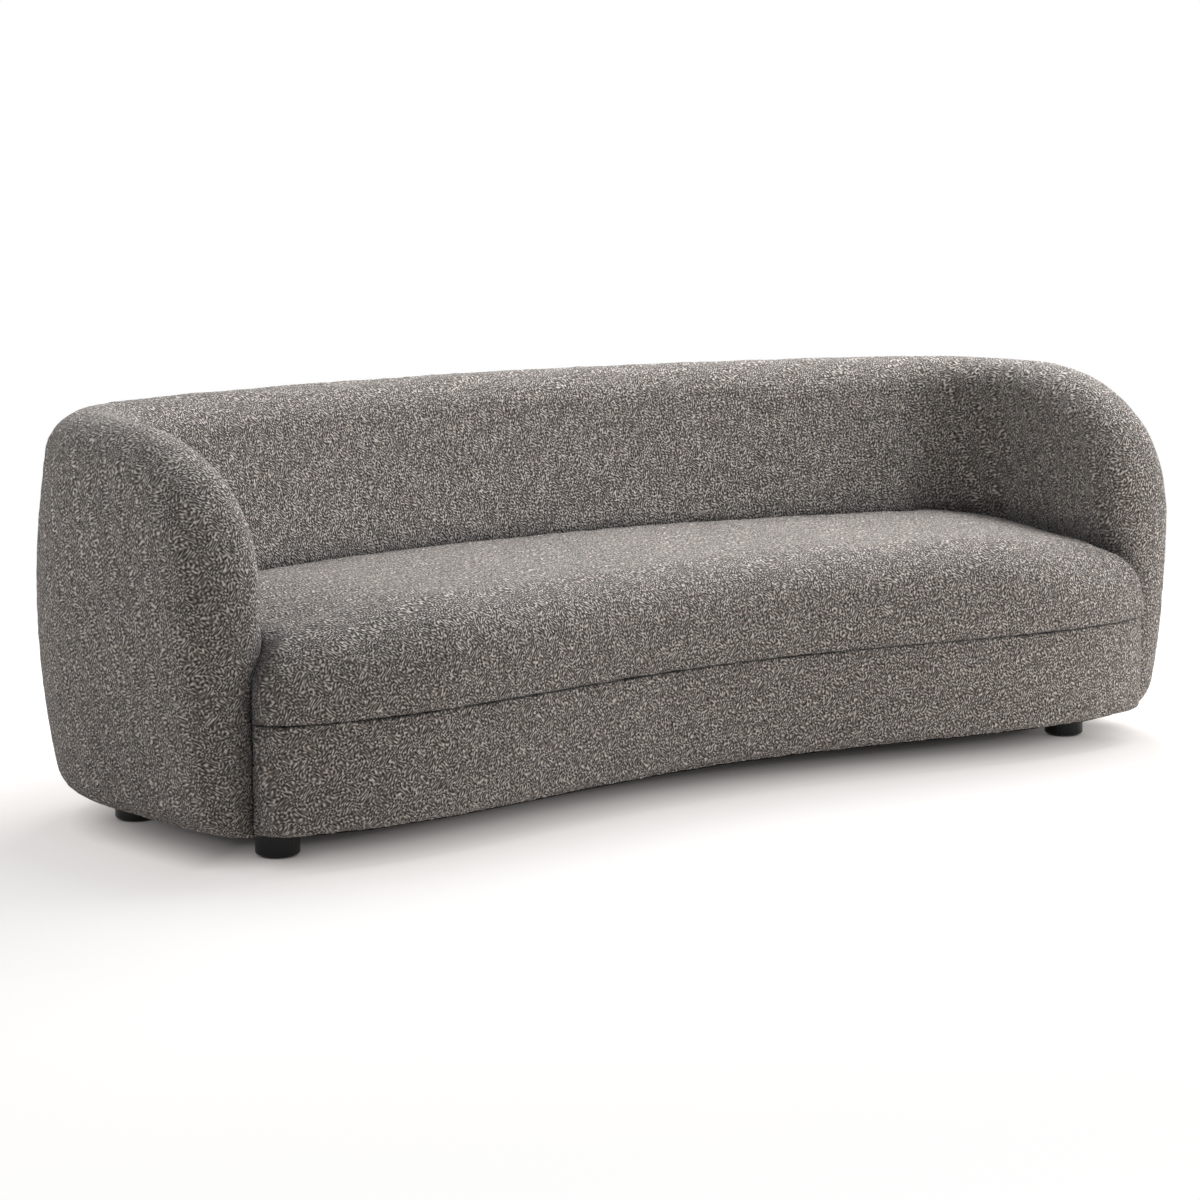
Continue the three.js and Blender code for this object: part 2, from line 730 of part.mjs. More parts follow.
// One loop of sinuous wire leaves its hook straight across and folds over in even waves.
function springSolid(front, rear) {
  const length = rear.y - front.y;
  const halfWaves = Math.round((2 * length) / springWave);
  const wave = (2 * length) / halfWaves;
  const overhang = springOverhangShare * Math.PI;
  const angles = [-overhang];
  for (let half = 0; half < halfWaves; half++) {
    for (const share of springTurnShares) angles.push((half + 0.5 + share) * Math.PI);
  }
  angles.push(halfWaves * Math.PI + overhang);
  const place = (angle) => {
    const along = (wave * angle) / (2 * Math.PI) - (wave * Math.sin(2 * angle)) / (4 * Math.PI);
    const share = clamp(along / length, 0, 1);
    const x = lerp(front.x, rear.x, share) + springHalfWidth * Math.sin(angle);
    return new THREE.Vector3(x, front.y + along, wireHeight + 4 * springCrown * share * (1 - share));
  };
  const points = angles.map(place);
  const rings = points.map((point, index) => {
    const from = points[Math.max(index - 1, 0)];
    const to = points[Math.min(index + 1, points.length - 1)];
    const forward = to.clone().sub(from).normalize();
    const across = new THREE.Vector3(forward.y, -forward.x, 0).normalize();
    const up = across.clone().cross(forward);
    const ring = [];
    for (let corner = 0; corner < wireSides; corner++) {
      const turn = (2 * Math.PI * corner) / wireSides;
      const side = across.clone().multiplyScalar(wireRadius * Math.cos(turn));
      ring.push(side.addScaledVector(up, wireRadius * Math.sin(turn)).add(point));
    }
    return ring;
  });
  return solidOf(loft(rings, fanCap));
}

// The folded hook holds the wire down against the strip. It opens towards the seat.
function hookSolid(place, opening) {
  const reach = wireRadius + hookClearance;
  const base = -wireRadius - fitGap - hookPlate / 2;
  const profile = [
    [-reach - hookPlate, base], [-reach, base], [-reach, reach], [wireRadius, reach],
    [wireRadius, reach + hookPlate], [-reach - hookPlate, reach + hookPlate],
  ];
  const shape = new THREE.Shape(profile.map(([along, up]) => new THREE.Vector2(along * opening, up)));
  const geometry = new THREE.ExtrudeGeometry(shape, { depth: hookWidth, bevelEnabled: false });
  geometry.rotateX(quarterTurn);
  geometry.rotateZ(quarterTurn);
  geometry.translate(place.x - hookWidth / 2, place.y, wireHeight);
  return solidOf(geometry);
}

function springEnds() {
  const ends = [];
  const stripMiddle = (station) => seatInside(station) - plywoodThickness / 2;
  for (let row = 0; row < springRows; row++) {
    for (const [name, side] of sides) {
      const rear = facetPoint(side * springPitch * (row + 1 / 2), stripMiddle, 0);
      const frontHook = frontFacetY(rear.x, frontRailFar) - clipStripWidth / 2;
      ends.push({ name: `${row + 1}_${name}`, rear, front: new THREE.Vector3(rear.x, frontHook, 0) });
    }
  }
  return ends;
}

function addSprings() {
  const ends = springEnds();
  const frontNear = frontRailFar - clipStripWidth;
  const frontOutline = frontStrip(-frontRailHalfLength, frontRailHalfLength, frontNear, frontRailFar);
  let frontStripSolid = prism(frontOutline, clipStripTop - hookPlate, clipStripTop);
  const rearFar = (station) => seatInside(station) - (plywoodThickness - clipStripWidth) / 2;
  const rearNear = (station) => rearFar(station) - clipStripWidth;
  const span = panelStations(-backArc, backArc);
  let rearStripSolid = prism(spineBand(span, rearFar, rearNear), clipStripTop - hookPlate, clipStripTop);
  for (const end of ends) {
    addPart(`seat_spring_${end.name}`, springSolid(end.front, end.rear), springSteel);
    frontStripSolid = frontStripSolid.add(hookSolid(end.front, 1));
    rearStripSolid = rearStripSolid.add(hookSolid(end.rear, -1));
  }
  addPart('front_clip_strip', frontStripSolid, zincSteel);
  addPart('rear_clip_strip', rearStripSolid, zincSteel);
}

// Seat deck, front rail padding and dust cloth

const deckLow = wireHeight + springCrown + wireRadius + deckPadGap;

function addDeckPad() {
  const skin = layer(-assemblySlack, -assemblySlack, -assemblySlack);
  const inset = flapEnd + assemblySlack;
  const span = wallStations(0).filter((station) => Math.abs(station) <= noseStart + fitGap);
  const wall = span.map((station) => offsetPoint(station, innerSurface(station, seatPlanHeight, skin), 0));
  const strip = frontStrip(-frontRailHalfLength, frontRailHalfLength, inset, 2 * inset);
  const frontPoints = strip.slice(0, strip.length / 2);
  addPart('deck_pad', prism([...frontPoints, ...wall.reverse()], deckLow, seamHeight - fitGap), felt);
}

// A bar along the front line, round at its lower and upper front edges.
function frontBar(inset, low, high, depth, hem, top) {
  const levels = [];
  for (let step = 0; step <= hemSteps; step++) {
    const turn = (quarterTurn * step) / hemSteps;
    levels.push({ height: low + hem * (1 - Math.cos(turn)), back: hem * (1 - Math.sin(turn)) });
  }
  for (let step = 0; step <= 1; step++) levels.push({ height: high - top * (1 - step), back: top * step / 2 });
  const rings = levels.map(({ height, back }) => {
    const xs = frontStations(inset + back);
    const near = xs.map((x) => new THREE.Vector3(x, frontY(x, inset + back), height));
    const far = xs.map((x) => new THREE.Vector3(x, frontLine(x) + depth, height));
    return [...near, ...far.reverse()];
  });
  return solidOf(loft(rings, ladderCap));
}

function addFrontPadding() {
  const nose = wallSolid(layer(-fitGap, -fitGap, -fitGap));
  const under = undersideHeight - cutOverrun;
  const foamInset = coverThickness + fitGap;
  const deep = rollEnd + frontRailFar;
  const hem = frontHemRound - coverThickness;
  const floor = undersideHeight + coverThickness;
  const ceiling = seamHeight - coverThickness;
  const cover = frontBar(0, undersideHeight, seamHeight, flapEnd, frontHemRound, frontTopRound)
    .subtract(frontBar(coverThickness, floor, ceiling, rollEnd + fitGap, hem, coverThickness))
    .subtract(frontBar(coverThickness, floor, tuckHeight, deep, hem, 0))
    .subtract(frontBar(frontHemWidth, under, floor + coverThickness, deep, 0, 0))
    .subtract(nose);
  addPart('front_cover', cover, fabric);
  const padding = frontBar(foamInset, baseLow, seamHeight - foamInset, rollEnd, hem, coverThickness)
    .subtract(frontBar(foamInset + frontFoamThickness, under, tuckHeight, deep, 0, 0))
    .subtract(nose);
  addPart('front_foam', padding, foam);
}

function addDustCloth() {
  const high = undersideHeight - fitGap;
  const inset = hemEdge - dustClothMargin;
  const span = wallStations(0).filter((station) => Math.abs(station) <= noseStart + fitGap);
  const wall = span.map((station) => offsetPoint(station, inset, 0));
  const frontInset = frontHemRound + dustClothMargin;
  const strip = frontStrip(-frontRailHalfLength, frontRailHalfLength, frontInset, frontRailFar);
  const frontPoints = strip.slice(0, strip.length / 2);
  const holes = footPlaces().map((place) => ({ x: place.x, y: place.y, radius: footRadius + assemblySlack }));
  const outline = [...frontPoints, ...wall.reverse()];
  addPart('dust_cloth', prism(outline, high - dustClothThickness, high, holes), blackCloth);
}

// Cushion

// Rows across the cushion, as shares of the way from the front edge to the wall.
const cushionRowShares = [0, 0.025, 0.07, 0.13, 0.2, 0.45, 0.75, 0.95, 0.985, 1];

const roundFall = (share) => 1 - Math.sqrt(1 - (1 - clamp(share, 0, 1)) ** 2);

function distanceTo(path, point) {
  const nearest = new THREE.Vector3();
  let distance = Infinity;
  for (let at = 0; at + 1 < path.length; at++) {
    new THREE.Line3(path[at], path[at + 1]).closestPointToPoint(point, true, nearest);
    distance = Math.min(distance, nearest.distanceTo(point));
  }
  return distance;
}

// The last station of the grown nose that an inset cushion reaches.
function cushionTipStation(reach, skin) {
  let near = noseStart;
  let far = halfLength - skin.edge;
  for (let step = 0; step < tipSearchSteps; step++) {
    const middle = (near + far) / 2;
    const wall = offsetPoint(middle, innerSurface(middle, seatPlanHeight, skin), 0);
    if (wall.x < reach) near = middle;
    else far = middle;
  }
  return near;
}

// A closed pillow over the seat plan: crowned on top, a soft fall at the front and a tight edge at the wall.
function cushionSolid(inset) {
  const gap = cushionSlack + inset;
  const skin = layer(-gap, -gap, -gap);
  const reach = spineEnd.x - inset;
  const tip = cushionTipStation(reach, skin);
  const stations = panelStations(0, noseStart + fitGap).slice(1);
  for (let step = 1; step <= noseSteps; step++) {
    stations.push(noseStart + (tip - noseStart) * Math.sin((quarterTurn * step) / noseSteps));
  }
  const all = [...stations.map((station) => -station).reverse(), 0, ...stations];
  const wall = all.map((station) => offsetPoint(station, innerSurface(station, seatPlanHeight, skin), 0));
  const lengths = [0];
  for (let at = 1; at < wall.length; at++) lengths.push(lengths[at - 1] + wall[at].distanceTo(wall[at - 1]));
  const total = lengths[lengths.length - 1];
  const front = wall.map((point, at) => {
    if (at === 0 || at === wall.length - 1) return point.clone();
    const x = reach * ((2 * lengths[at]) / total - 1);
    return new THREE.Vector3(x, frontY(x, inset), 0);
  });
  const low = seamHeight + fitGap + inset;
  const frontFall = seatHeight - seamHeight - cushionFrontFace;
  const rings = all.map((station, at) => {
    const armShare = THREE.MathUtils.smoothstep(Math.abs(station), backArc, noseStart);
    const top = cushionRowShares.map((share) => {
      const point = front[at].clone().lerp(wall[at], share);
      const fromFront = distanceTo(front, point);
      const fromWall = distanceTo(wall, point);
      const fall = Math.hypot(
        frontFall * roundFall(fromFront / cushionFrontReach),
        cushionWallFall * roundFall(fromWall / cushionWallReach),
      );
      const crownShare = Math.min(Math.min(fromFront, fromWall) / cushionCrownReach, 1);
      point.z = seatHeight - seatArmDrop * armShare - inset - fall + cushionCrown * crownShare;
      return point;
    });
    const frontMiddle = front[at].clone().setZ((low + top[0].z) / 2);
    const wallMiddle = wall[at].clone().setZ((low + top[top.length - 1].z) / 2);
    if (at > 0 && at < all.length - 1) frontMiddle.y -= cushionFrontSwell;
    return [front[at].clone().setZ(low), frontMiddle, ...top, wallMiddle, wall[at].clone().setZ(low)];
  });
  return solidOf(loft(rings, null, mirroredSplit(rings.length)));
}

function addCushion() {
  const outer = cushionSolid(0);
  const inner = cushionSolid(cushionCoverThickness);
  const zipMiddle = (seamHeight + seatHeight) / 2;
  const zipSpan = panelStations(-zipHalfLength, zipHalfLength);
  const zipBand = (outset, inset, halfHeight) => {
    const far = (station) => seatInside(station) - cushionSlack + outset;
    const near = (station) => seatInside(station) - cushionSlack - inset;
    return prism(spineBand(zipSpan, far, near), zipMiddle - halfHeight, zipMiddle + halfHeight);
  };
  const slot = zipBand(cutOverrun, cushionCoverThickness + fitGap, zipHeight / 2 + fitGap);
  addPart('cushion_cover', outer.subtract(inner).subtract(slot), fabric);
  addPart('cushion_foam', cushionSolid(cushionCoverThickness + fitGap), foam);
  addPart('cushion_zip', zipBand(0, zipThickness, zipHeight / 2), nylon);
}

// Feet

function turned(profile, segments) {
  const points = profile.map(([radius, height]) => new THREE.Vector2(radius, height));
  const geometry = new THREE.LatheGeometry(points, segments);
  geometry.rotateX(quarterTurn);
  return geometry;
}

function addFeet() {
  const footTop = baseLow - fitGap;
  const boltLow = footTop - boltEmbed;
  const footLow = glideThickness + fitGap;
  const hole = boltRadius + boltHoleSlack;
  const footProfile = [
    [0, footLow], [footRadius - footChamfer, footLow], [footRadius, footLow + footChamfer],
    [footRadius, footTop - footTopShadow], [footRadius - footTopShadow, footTop],
    [hole, footTop], [hole, boltLow - fitGap], [0, boltLow - fitGap],
  ];
  const glideProfile = [
    [0, 0], [glideRadius - glideThickness / 3, 0], [glideRadius, glideThickness / 3],
    [glideRadius, glideThickness], [0, glideThickness],
  ];
  const flangeLow = standHeight;
  const flangeTop = flangeLow + boltFlangeThickness;
  const boltProfile = [
    [0, boltLow], [boltRadius, boltLow], [boltRadius, flangeLow], [boltFlangeRadius, flangeLow],
    [boltFlangeRadius, flangeTop], [boltRadius, flangeTop], [boltRadius, flangeTop + boltFlangeThickness],
    [0, flangeTop + boltFlangeThickness],
  ];
  for (const place of footPlaces()) {
    const stand = (geometry) => solidOf(geometry.translate(place.x, place.y, 0));
    addPart(`foot_${place.name}`, stand(turned(footProfile, footSegments)), blackLacquer);
    addPart(`foot_glide_${place.name}`, stand(turned(glideProfile, footSegments)), felt);
    addPart(`foot_bolt_${place.name}`, stand(turned(boltProfile, boltSegments)), zincSteel);
  }
}

const well = wellCut();
addPart('shell_cover', shellCover(well), fabric);
addPart('shell_foam', shellFoam(well), foam);
addPanels();
addBase();
addSeatRails();
addRibs();
addTopRail();
addSprings();
addDeckPad();
addFrontPadding();
addDustCloth();
addCushion();
addFeet();

// The finished frame stands with the middle of its footprint on the origin.
const frontMost = frontLine(frontBulgeHalfWidth) - cushionFrontSwell;
const backMost = backSpineY + bellyOffset;
model.position.y = -(frontMost + backMost) / 2;

export default model;
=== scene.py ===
import json
import math

import bmesh
import bpy
import numpy as np
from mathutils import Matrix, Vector
from mathutils.geometry import delaunay_2d_cdt


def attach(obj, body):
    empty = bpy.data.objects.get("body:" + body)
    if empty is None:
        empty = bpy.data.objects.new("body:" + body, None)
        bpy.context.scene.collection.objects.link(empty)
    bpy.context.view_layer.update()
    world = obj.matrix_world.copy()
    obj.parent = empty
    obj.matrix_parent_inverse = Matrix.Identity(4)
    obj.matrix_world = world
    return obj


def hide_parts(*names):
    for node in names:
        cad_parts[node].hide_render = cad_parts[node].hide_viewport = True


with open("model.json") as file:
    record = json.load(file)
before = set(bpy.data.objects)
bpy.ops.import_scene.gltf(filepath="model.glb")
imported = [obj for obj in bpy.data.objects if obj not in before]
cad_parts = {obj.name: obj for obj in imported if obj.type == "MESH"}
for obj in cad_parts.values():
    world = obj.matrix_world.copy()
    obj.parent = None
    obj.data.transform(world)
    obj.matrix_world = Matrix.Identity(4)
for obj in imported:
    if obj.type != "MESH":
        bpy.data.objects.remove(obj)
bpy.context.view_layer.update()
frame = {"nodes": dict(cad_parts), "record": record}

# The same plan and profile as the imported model, in millimetres from the spine's own origin.
ROW_SHIFT = -391.25
BACK_SPINE_Y = 767.0
BACK_RADIUS = 2650.0
BACK_ANGLE = math.radians(18.7)
CORNER_RADIUS = 280.0
CORNER_ANGLE = math.radians(74.8)
ARM_RADIUS = 2225.0
ARM_LENGTH = 347.0
RIDGE_HEIGHT = 712.0
UNDERSIDE = 58.0
RIDGE_HALF = 66.5
BELLY_OFFSET = 99.0
BELLY_HEIGHT = 393.0
UNDERSIDE_OFFSET = 63.0
CREST_ROUND = 60.0
HEM_ROUND = 45.0
ARM_FALL = 395.0
ARM_FRONT_HEIGHT = 408.0
CREST_POWER = 2.55
BACK_RECLINE = 122.0
FRONT_BULGE = 78.5
FRONT_BULGE_HALF_WIDTH = 750.0
FRONT_CORNER_ROUND = 36.2
SEAM_HEIGHT = 243.0
SEAT_HEIGHT = 416.0
SEAT_ARM_DROP = 37.0
TUCK_HEIGHT = 206.0
FIT_GAP = 0.3

BACK_ARC = BACK_RADIUS * BACK_ANGLE
CORNER_ARC = CORNER_RADIUS * CORNER_ANGLE
HALF_LENGTH = BACK_ARC + CORNER_ARC + ARM_LENGTH
NOSE_START = HALF_LENGTH - CREST_ROUND
CREST_END = HALF_LENGTH - ARM_FALL


# Plan and profile

def spine_arcs():
    """The right half of the spine as arcs: where each starts, its first heading, its radius and its centre."""
    arcs = []
    start = heading = 0.0
    point = np.array([0.0, BACK_SPINE_Y])
    turns = ((BACK_RADIUS, BACK_ANGLE), (CORNER_RADIUS, CORNER_ANGLE), (ARM_RADIUS, ARM_LENGTH / ARM_RADIUS))
    for radius, angle in turns:
        centre = point - radius * np.array([math.sin(heading), math.cos(heading)])
        arcs.append((start, heading, radius, centre))
        start += radius * angle
        heading += angle
        point = centre + radius * np.array([math.sin(heading), math.cos(heading)])
    return arcs


ARCS = spine_arcs()


def spine_at(station):
    """Points of the spine at an array of stations, with the outward normals there."""
    side = np.where(station < 0, -1.0, 1.0)
    along = np.abs(station)
    x = np.zeros_like(along)
    y = np.zeros_like(along)
    heading = np.zeros_like(along)
    for start, first, radius, centre in ARCS:
        here = along >= start
        turn = first + (along - start) / radius
        heading = np.where(here, turn, heading)
        x = np.where(here, centre[0] + radius * np.sin(turn), x)
        y = np.where(here, centre[1] + radius * np.cos(turn), y)
    return side * x, y, side * np.sin(heading), np.cos(heading)


def offset_points(station, offset, height):
    """Points at a distance out of the spine, square to it, at a height."""
    x, y, normal_x, normal_y = spine_at(station)
    return np.stack([x + normal_x * offset, y + normal_y * offset, height + 0 * x], axis=-1)


END_X, END_Y = (float(value) for value in spine_at(np.array(HALF_LENGTH))[:2])


def hollow_line(x):
    """The seat front's hollow: how far it lies in front of its middle at each x."""
    share = (x / FRONT_BULGE_HALF_WIDTH) ** 2
    return -FRONT_BULGE * (2 * share - share * share)


FRONT_LEVEL = END_Y - FRONT_CORNER_ROUND - hollow_line(END_X)
# The sewn covers draw the ends of the cushion and the rail in a little from the arms' middle line.
SOFT_END_X = END_X - 7.0


def front_y(x):
    """The hollow front line, with its ends rounded back to the arm fronts."""
    beyond = np.clip(np.abs(x) - (SOFT_END_X - FRONT_CORNER_ROUND), 0, FRONT_CORNER_ROUND)
    return FRONT_LEVEL + hollow_line(x) + FRONT_CORNER_ROUND - np.sqrt(FRONT_CORNER_ROUND ** 2 - beyond ** 2)


def smooth(share):
    """A share from 0 to 1 with soft ends."""
    return share * share * (3 - 2 * share)


def outer_offset(height):
    """How far the wall's outer side bellies out of the spine."""
    above = height > BELLY_HEIGHT
    end = np.where(above, RIDGE_HEIGHT, UNDERSIDE)
    width = np.where(above, RIDGE_HALF, UNDERSIDE_OFFSET)
    share = (height - BELLY_HEIGHT) / (end - BELLY_HEIGHT)
    return BELLY_OFFSET - (BELLY_OFFSET - width) * share ** 2


def corner_share(station):
    return np.clip((np.abs(station) - BACK_ARC) / CORNER_ARC, 0, 1)


def inner_offset(station, height):
    """How far the wall's inner side leans into the seat from the spine."""
    recline = BACK_RECLINE * (1 - corner_share(station))
    return RIDGE_HALF + recline * np.clip((RIDGE_HEIGHT - height) / (RIDGE_HEIGHT - SEAT_HEIGHT), 0, 1)


def crest_height(station):
    """The ridge along the back, running down over the arm fronts in a superellipse."""
    share = np.clip((np.abs(station) - CREST_END) / ARM_FALL, 0, 1)
    left = (1 - share ** CREST_POWER) ** (1 / CREST_POWER)
    return ARM_FRONT_HEIGHT + (RIDGE_HEIGHT - ARM_FRONT_HEIGHT) * left


def crest_slope(station):
    share = np.clip((np.abs(station) - CREST_END) / ARM_FALL, 0, 0.99999)
    left = (1 - share ** CREST_POWER) ** (1 / CREST_POWER)
    return (RIDGE_HEIGHT - ARM_FRONT_HEIGHT) / ARM_FALL * (share / left) ** (CREST_POWER - 1)


def fullness(station, height):
    """How far the wall has swelled from its edge: 0 on the crest and the arm front, 1 past the rounding."""
    rise = RIDGE_HEIGHT - ARM_FRONT_HEIGHT
    along = np.clip((np.abs(station) - CREST_END) / ARM_FALL, 0, 1)
    up = np.clip((height - ARM_FRONT_HEIGHT) / rise, 0, None)
    size = (along ** CREST_POWER + up ** CREST_POWER) ** (1 / CREST_POWER)
    safe = np.maximum(size, 1e-6)
    gradient = np.hypot((along / safe) ** (CREST_POWER - 1) / ARM_FALL,
                        (up / safe) ** (CREST_POWER - 1) / rise)
    depth = np.maximum(0, 1 - size) / np.maximum(gradient, 1e-9)
    share = 1 - np.minimum(depth / CREST_ROUND, 1)
    return np.where(size < 1e-6, 1.0, np.sqrt(np.maximum(0, 1 - share * share)))


def hem_dip(height):
    """How far the wall's outer side rounds in above its hem."""
    share = 1 - np.clip((height - UNDERSIDE) / HEM_ROUND, 0, 1)
    return HEM_ROUND * (1 - np.sqrt(1 - share * share))


# Mesh helpers

MERGE_DISTANCE = 0.00005
HASH_FACTORS = (73856093, 19349663, 83492791)
HASH_SEED = 2654435
HASH_MIX = 1274126177


def cosine_steps(count):
    """Shares from 0 to 1 that crowd towards 0."""
    return 1 - np.cos(np.linspace(0, math.pi / 2, count + 1))


def mesh_piece(name, points, faces):
    mesh = bpy.data.meshes.new(name)
    mesh.from_pydata([tuple(point) for point in points], [], [tuple(face) for face in faces])
    mesh.update()
    piece = bpy.data.objects.new(name, mesh)
    bpy.context.scene.collection.objects.link(piece)
    return piece


def grid_mesh(name, points, closed_rows=False, merge=True):
    """A mesh from a grid of points in millimetres, rows by columns, moved into the part's frame in metres."""
    rows, columns = points.shape[:2]
    flat = points.reshape(-1, 3) * 0.001
    flat[:, 1] += ROW_SHIFT * 0.001
    index = np.arange(rows * columns).reshape(rows, columns)
    if closed_rows:
        index = np.vstack([index, index[:1]])
    faces = np.stack([index[:-1, :-1], index[:-1, 1:], index[1:, 1:], index[1:, :-1]], axis=-1).reshape(-1, 4)
    piece = mesh_piece(name, flat, faces)
    if merge:
        clean_up(piece)
    return piece


def clean_up(piece):
    """Joins points that fall together, turns the faces outwards and shades them smooth."""
    work = bmesh.new()
    work.from_mesh(piece.data)
    bmesh.ops.remove_doubles(work, verts=work.verts, dist=MERGE_DISTANCE)
    bmesh.ops.dissolve_degenerate(work, dist=MERGE_DISTANCE / 4, edges=work.edges)
    bmesh.ops.recalc_face_normals(work, faces=work.faces)
    for face in work.faces:
        face.smooth = True
    work.to_mesh(piece.data)
    work.free()


def lattice_noise(points, scale, seed):
    """Smooth value noise from -1 to 1 at points in metres."""
    scaled = points * scale
    cell = np.floor(scaled).astype(np.int64)
    part = scaled - cell
    part = smooth(part)
    total = np.zeros(len(points))
    for corner in range(8):
        step = np.array([corner & 1, corner >> 1 & 1, corner >> 2 & 1])
        at = cell + step
        parts = at * HASH_FACTORS
        code = parts[:, 0] ^ parts[:, 1] ^ parts[:, 2] ^ seed * HASH_SEED
        code = (code ^ code >> 13) * HASH_MIX
        code = (code ^ code >> 16) & 0xFFFF
        weight = np.prod(np.where(step == 1, part, 1 - part), axis=1)
        total += weight * (code / 32767.5 - 1)
    return total


def roughen(piece, layers):
    """Moves each point along its normal by layers of noise, each given as scale, height in metres and seed."""
    mesh = piece.data
    count = len(mesh.vertices)
    place = np.zeros(count * 3)
    normal = np.zeros(count * 3)
    mesh.vertices.foreach_get("co", place)
    mesh.vertices.foreach_get("normal", normal)
    place = place.reshape(-1, 3)
    normal = normal.reshape(-1, 3)
    move = sum(height * lattice_noise(place, scale, seed) for scale, height, seed in layers)
    mesh.vertices.foreach_set("co", (place + normal * move[:, None]).ravel())
    mesh.update()


# Shell

# Uneven stuffing and the loops' own relief: scale per metre, height in metres and seed.
FUZZ = [(14.0, 0.0010, 11), (45.0, 0.0005, 12), (120.0, 0.0009, 13)]
SHELL_SPACING = 8.0
NOSE_COLUMNS = 15
HEM_ROWS = 8
WALL_ROWS = 58
CREST_ROWS = 15
# The crest's rounding takes at most this share of the wall's height.
CREST_SHARE = 0.6
# Over this length the inner side goes down from the seat's tuck to the hem at the arm front.
NOSE_BLEND = 14.0
FLAP_OFFSETS = np.linspace(-14.0, 18.0, 5)[:-1]


def quarter_steps(count):
    """Sines of even angles from 0 to a right angle, without the first."""
    return np.sin(np.linspace(0, math.pi / 2, count))[1:]


def mirrored(right):
    """A run of values from 0 up, with its mirror image before it."""
    return np.concatenate([-right[:0:-1], right])


def shell_stations():
    straight = np.linspace(0, NOSE_START, int(NOSE_START / SHELL_SPACING))
    return mirrored(np.concatenate([straight, NOSE_START + CREST_ROUND * quarter_steps(NOSE_COLUMNS)]))


def shell_column(station):
    """Points at one station: under the hem, up the outer side, over the crest and down the inner side."""
    top = float(crest_height(station))
    reach = CREST_ROUND * math.hypot(1, float(crest_slope(station)))
    low = UNDERSIDE + HEM_ROUND
    shoulder = top - min(reach, CREST_SHARE * (top - low))
    nose = np.clip((abs(station) - NOSE_START) / NOSE_BLEND, 0, 1)
    tuck = TUCK_HEIGHT + (UNDERSIDE - TUCK_HEIGHT) * nose
    hem = UNDERSIDE + HEM_ROUND * cosine_steps(HEM_ROWS)
    wall = np.linspace(low, shoulder, WALL_ROWS)[1:]
    crest = top - (top - shoulder) * (1 - quarter_steps(CREST_ROWS))
    inner = np.linspace(shoulder, tuck, WALL_ROWS)[1:]
    outer_heights = np.concatenate([hem, wall, crest])
    outer = (outer_offset(outer_heights) - hem_dip(outer_heights)) * fullness(station, outer_heights)
    inner_heights = np.concatenate([crest[-2::-1], [shoulder], inner])
    inside = -inner_offset(station, inner_heights) * fullness(station, inner_heights)
    flap = FLAP_OFFSETS * fullness(station, UNDERSIDE)
    offsets = np.concatenate([flap, outer, inside])
    heights = np.concatenate([np.full(len(flap), UNDERSIDE), outer_heights, inner_heights])
    return offset_points(np.full(len(offsets), station), offsets, heights)


def build_shell():
    points = np.stack([shell_column(station) for station in shell_stations()], axis=1)
    shell = grid_mesh("shell_boucle", points)
    roughen(shell, FUZZ)
    return shell


# Front rail

# The rail's lower edge is drawn up a little, more so at its middle.
RAIL_END_LIFT = 3.0
RAIL_BOW = 6.0
RAIL_SWELL = 1.6
RAIL_FLAP_RISE = 1.2
RAIL_SLOPE_HEIGHT = 150.0
HEM_TUCK = 18.0
TUCK_RAMP = 4.0
RAIL_HEM_ROUND = 12.0
RAIL_TOP_ROUND = 4.0
RAIL_TOP_DEPTH = 45.0
RAIL_BACK_ROUND = 2.4
RAIL_END_SHRINK = 11.0
RAIL_ARM_GAP = 1.2
UNDER_DEPTHS = (40.0, 30.0, 22.0, HEM_TUCK, HEM_TUCK - TUCK_RAMP / 2, HEM_TUCK - TUCK_RAMP)
BACK_HEIGHTS = (232.0, 220.0, 207.0)
NOSE_LEAD = 60.0


def front_path(spacing=8.0):
    """The x values of the whole front line from arm front to arm front, at even steps."""
    corner_start = SOFT_END_X - FRONT_CORNER_ROUND
    straight = np.linspace(0, corner_start, int(corner_start / spacing))
    return mirrored(np.concatenate([straight, corner_start + FRONT_CORNER_ROUND * quarter_steps(9)]))


def nose_depth(x):
    """How far back from the front line a piece may reach before it meets the arm."""
    turn = np.sin(np.linspace(0, math.pi / 2, 160))
    station = NOSE_START - NOSE_LEAD + (CREST_ROUND + NOSE_LEAD) * turn
    swell = fullness(station, np.full_like(station, UNDERSIDE))
    curve = offset_points(station, -inner_offset(station, SEAT_HEIGHT) * swell, 0.0)
    order = np.argsort(curve[:, 0])
    reach = np.interp(np.abs(x), curve[order, 0], curve[order, 1], left=1e4)
    return np.maximum(reach - front_y(x), 0)


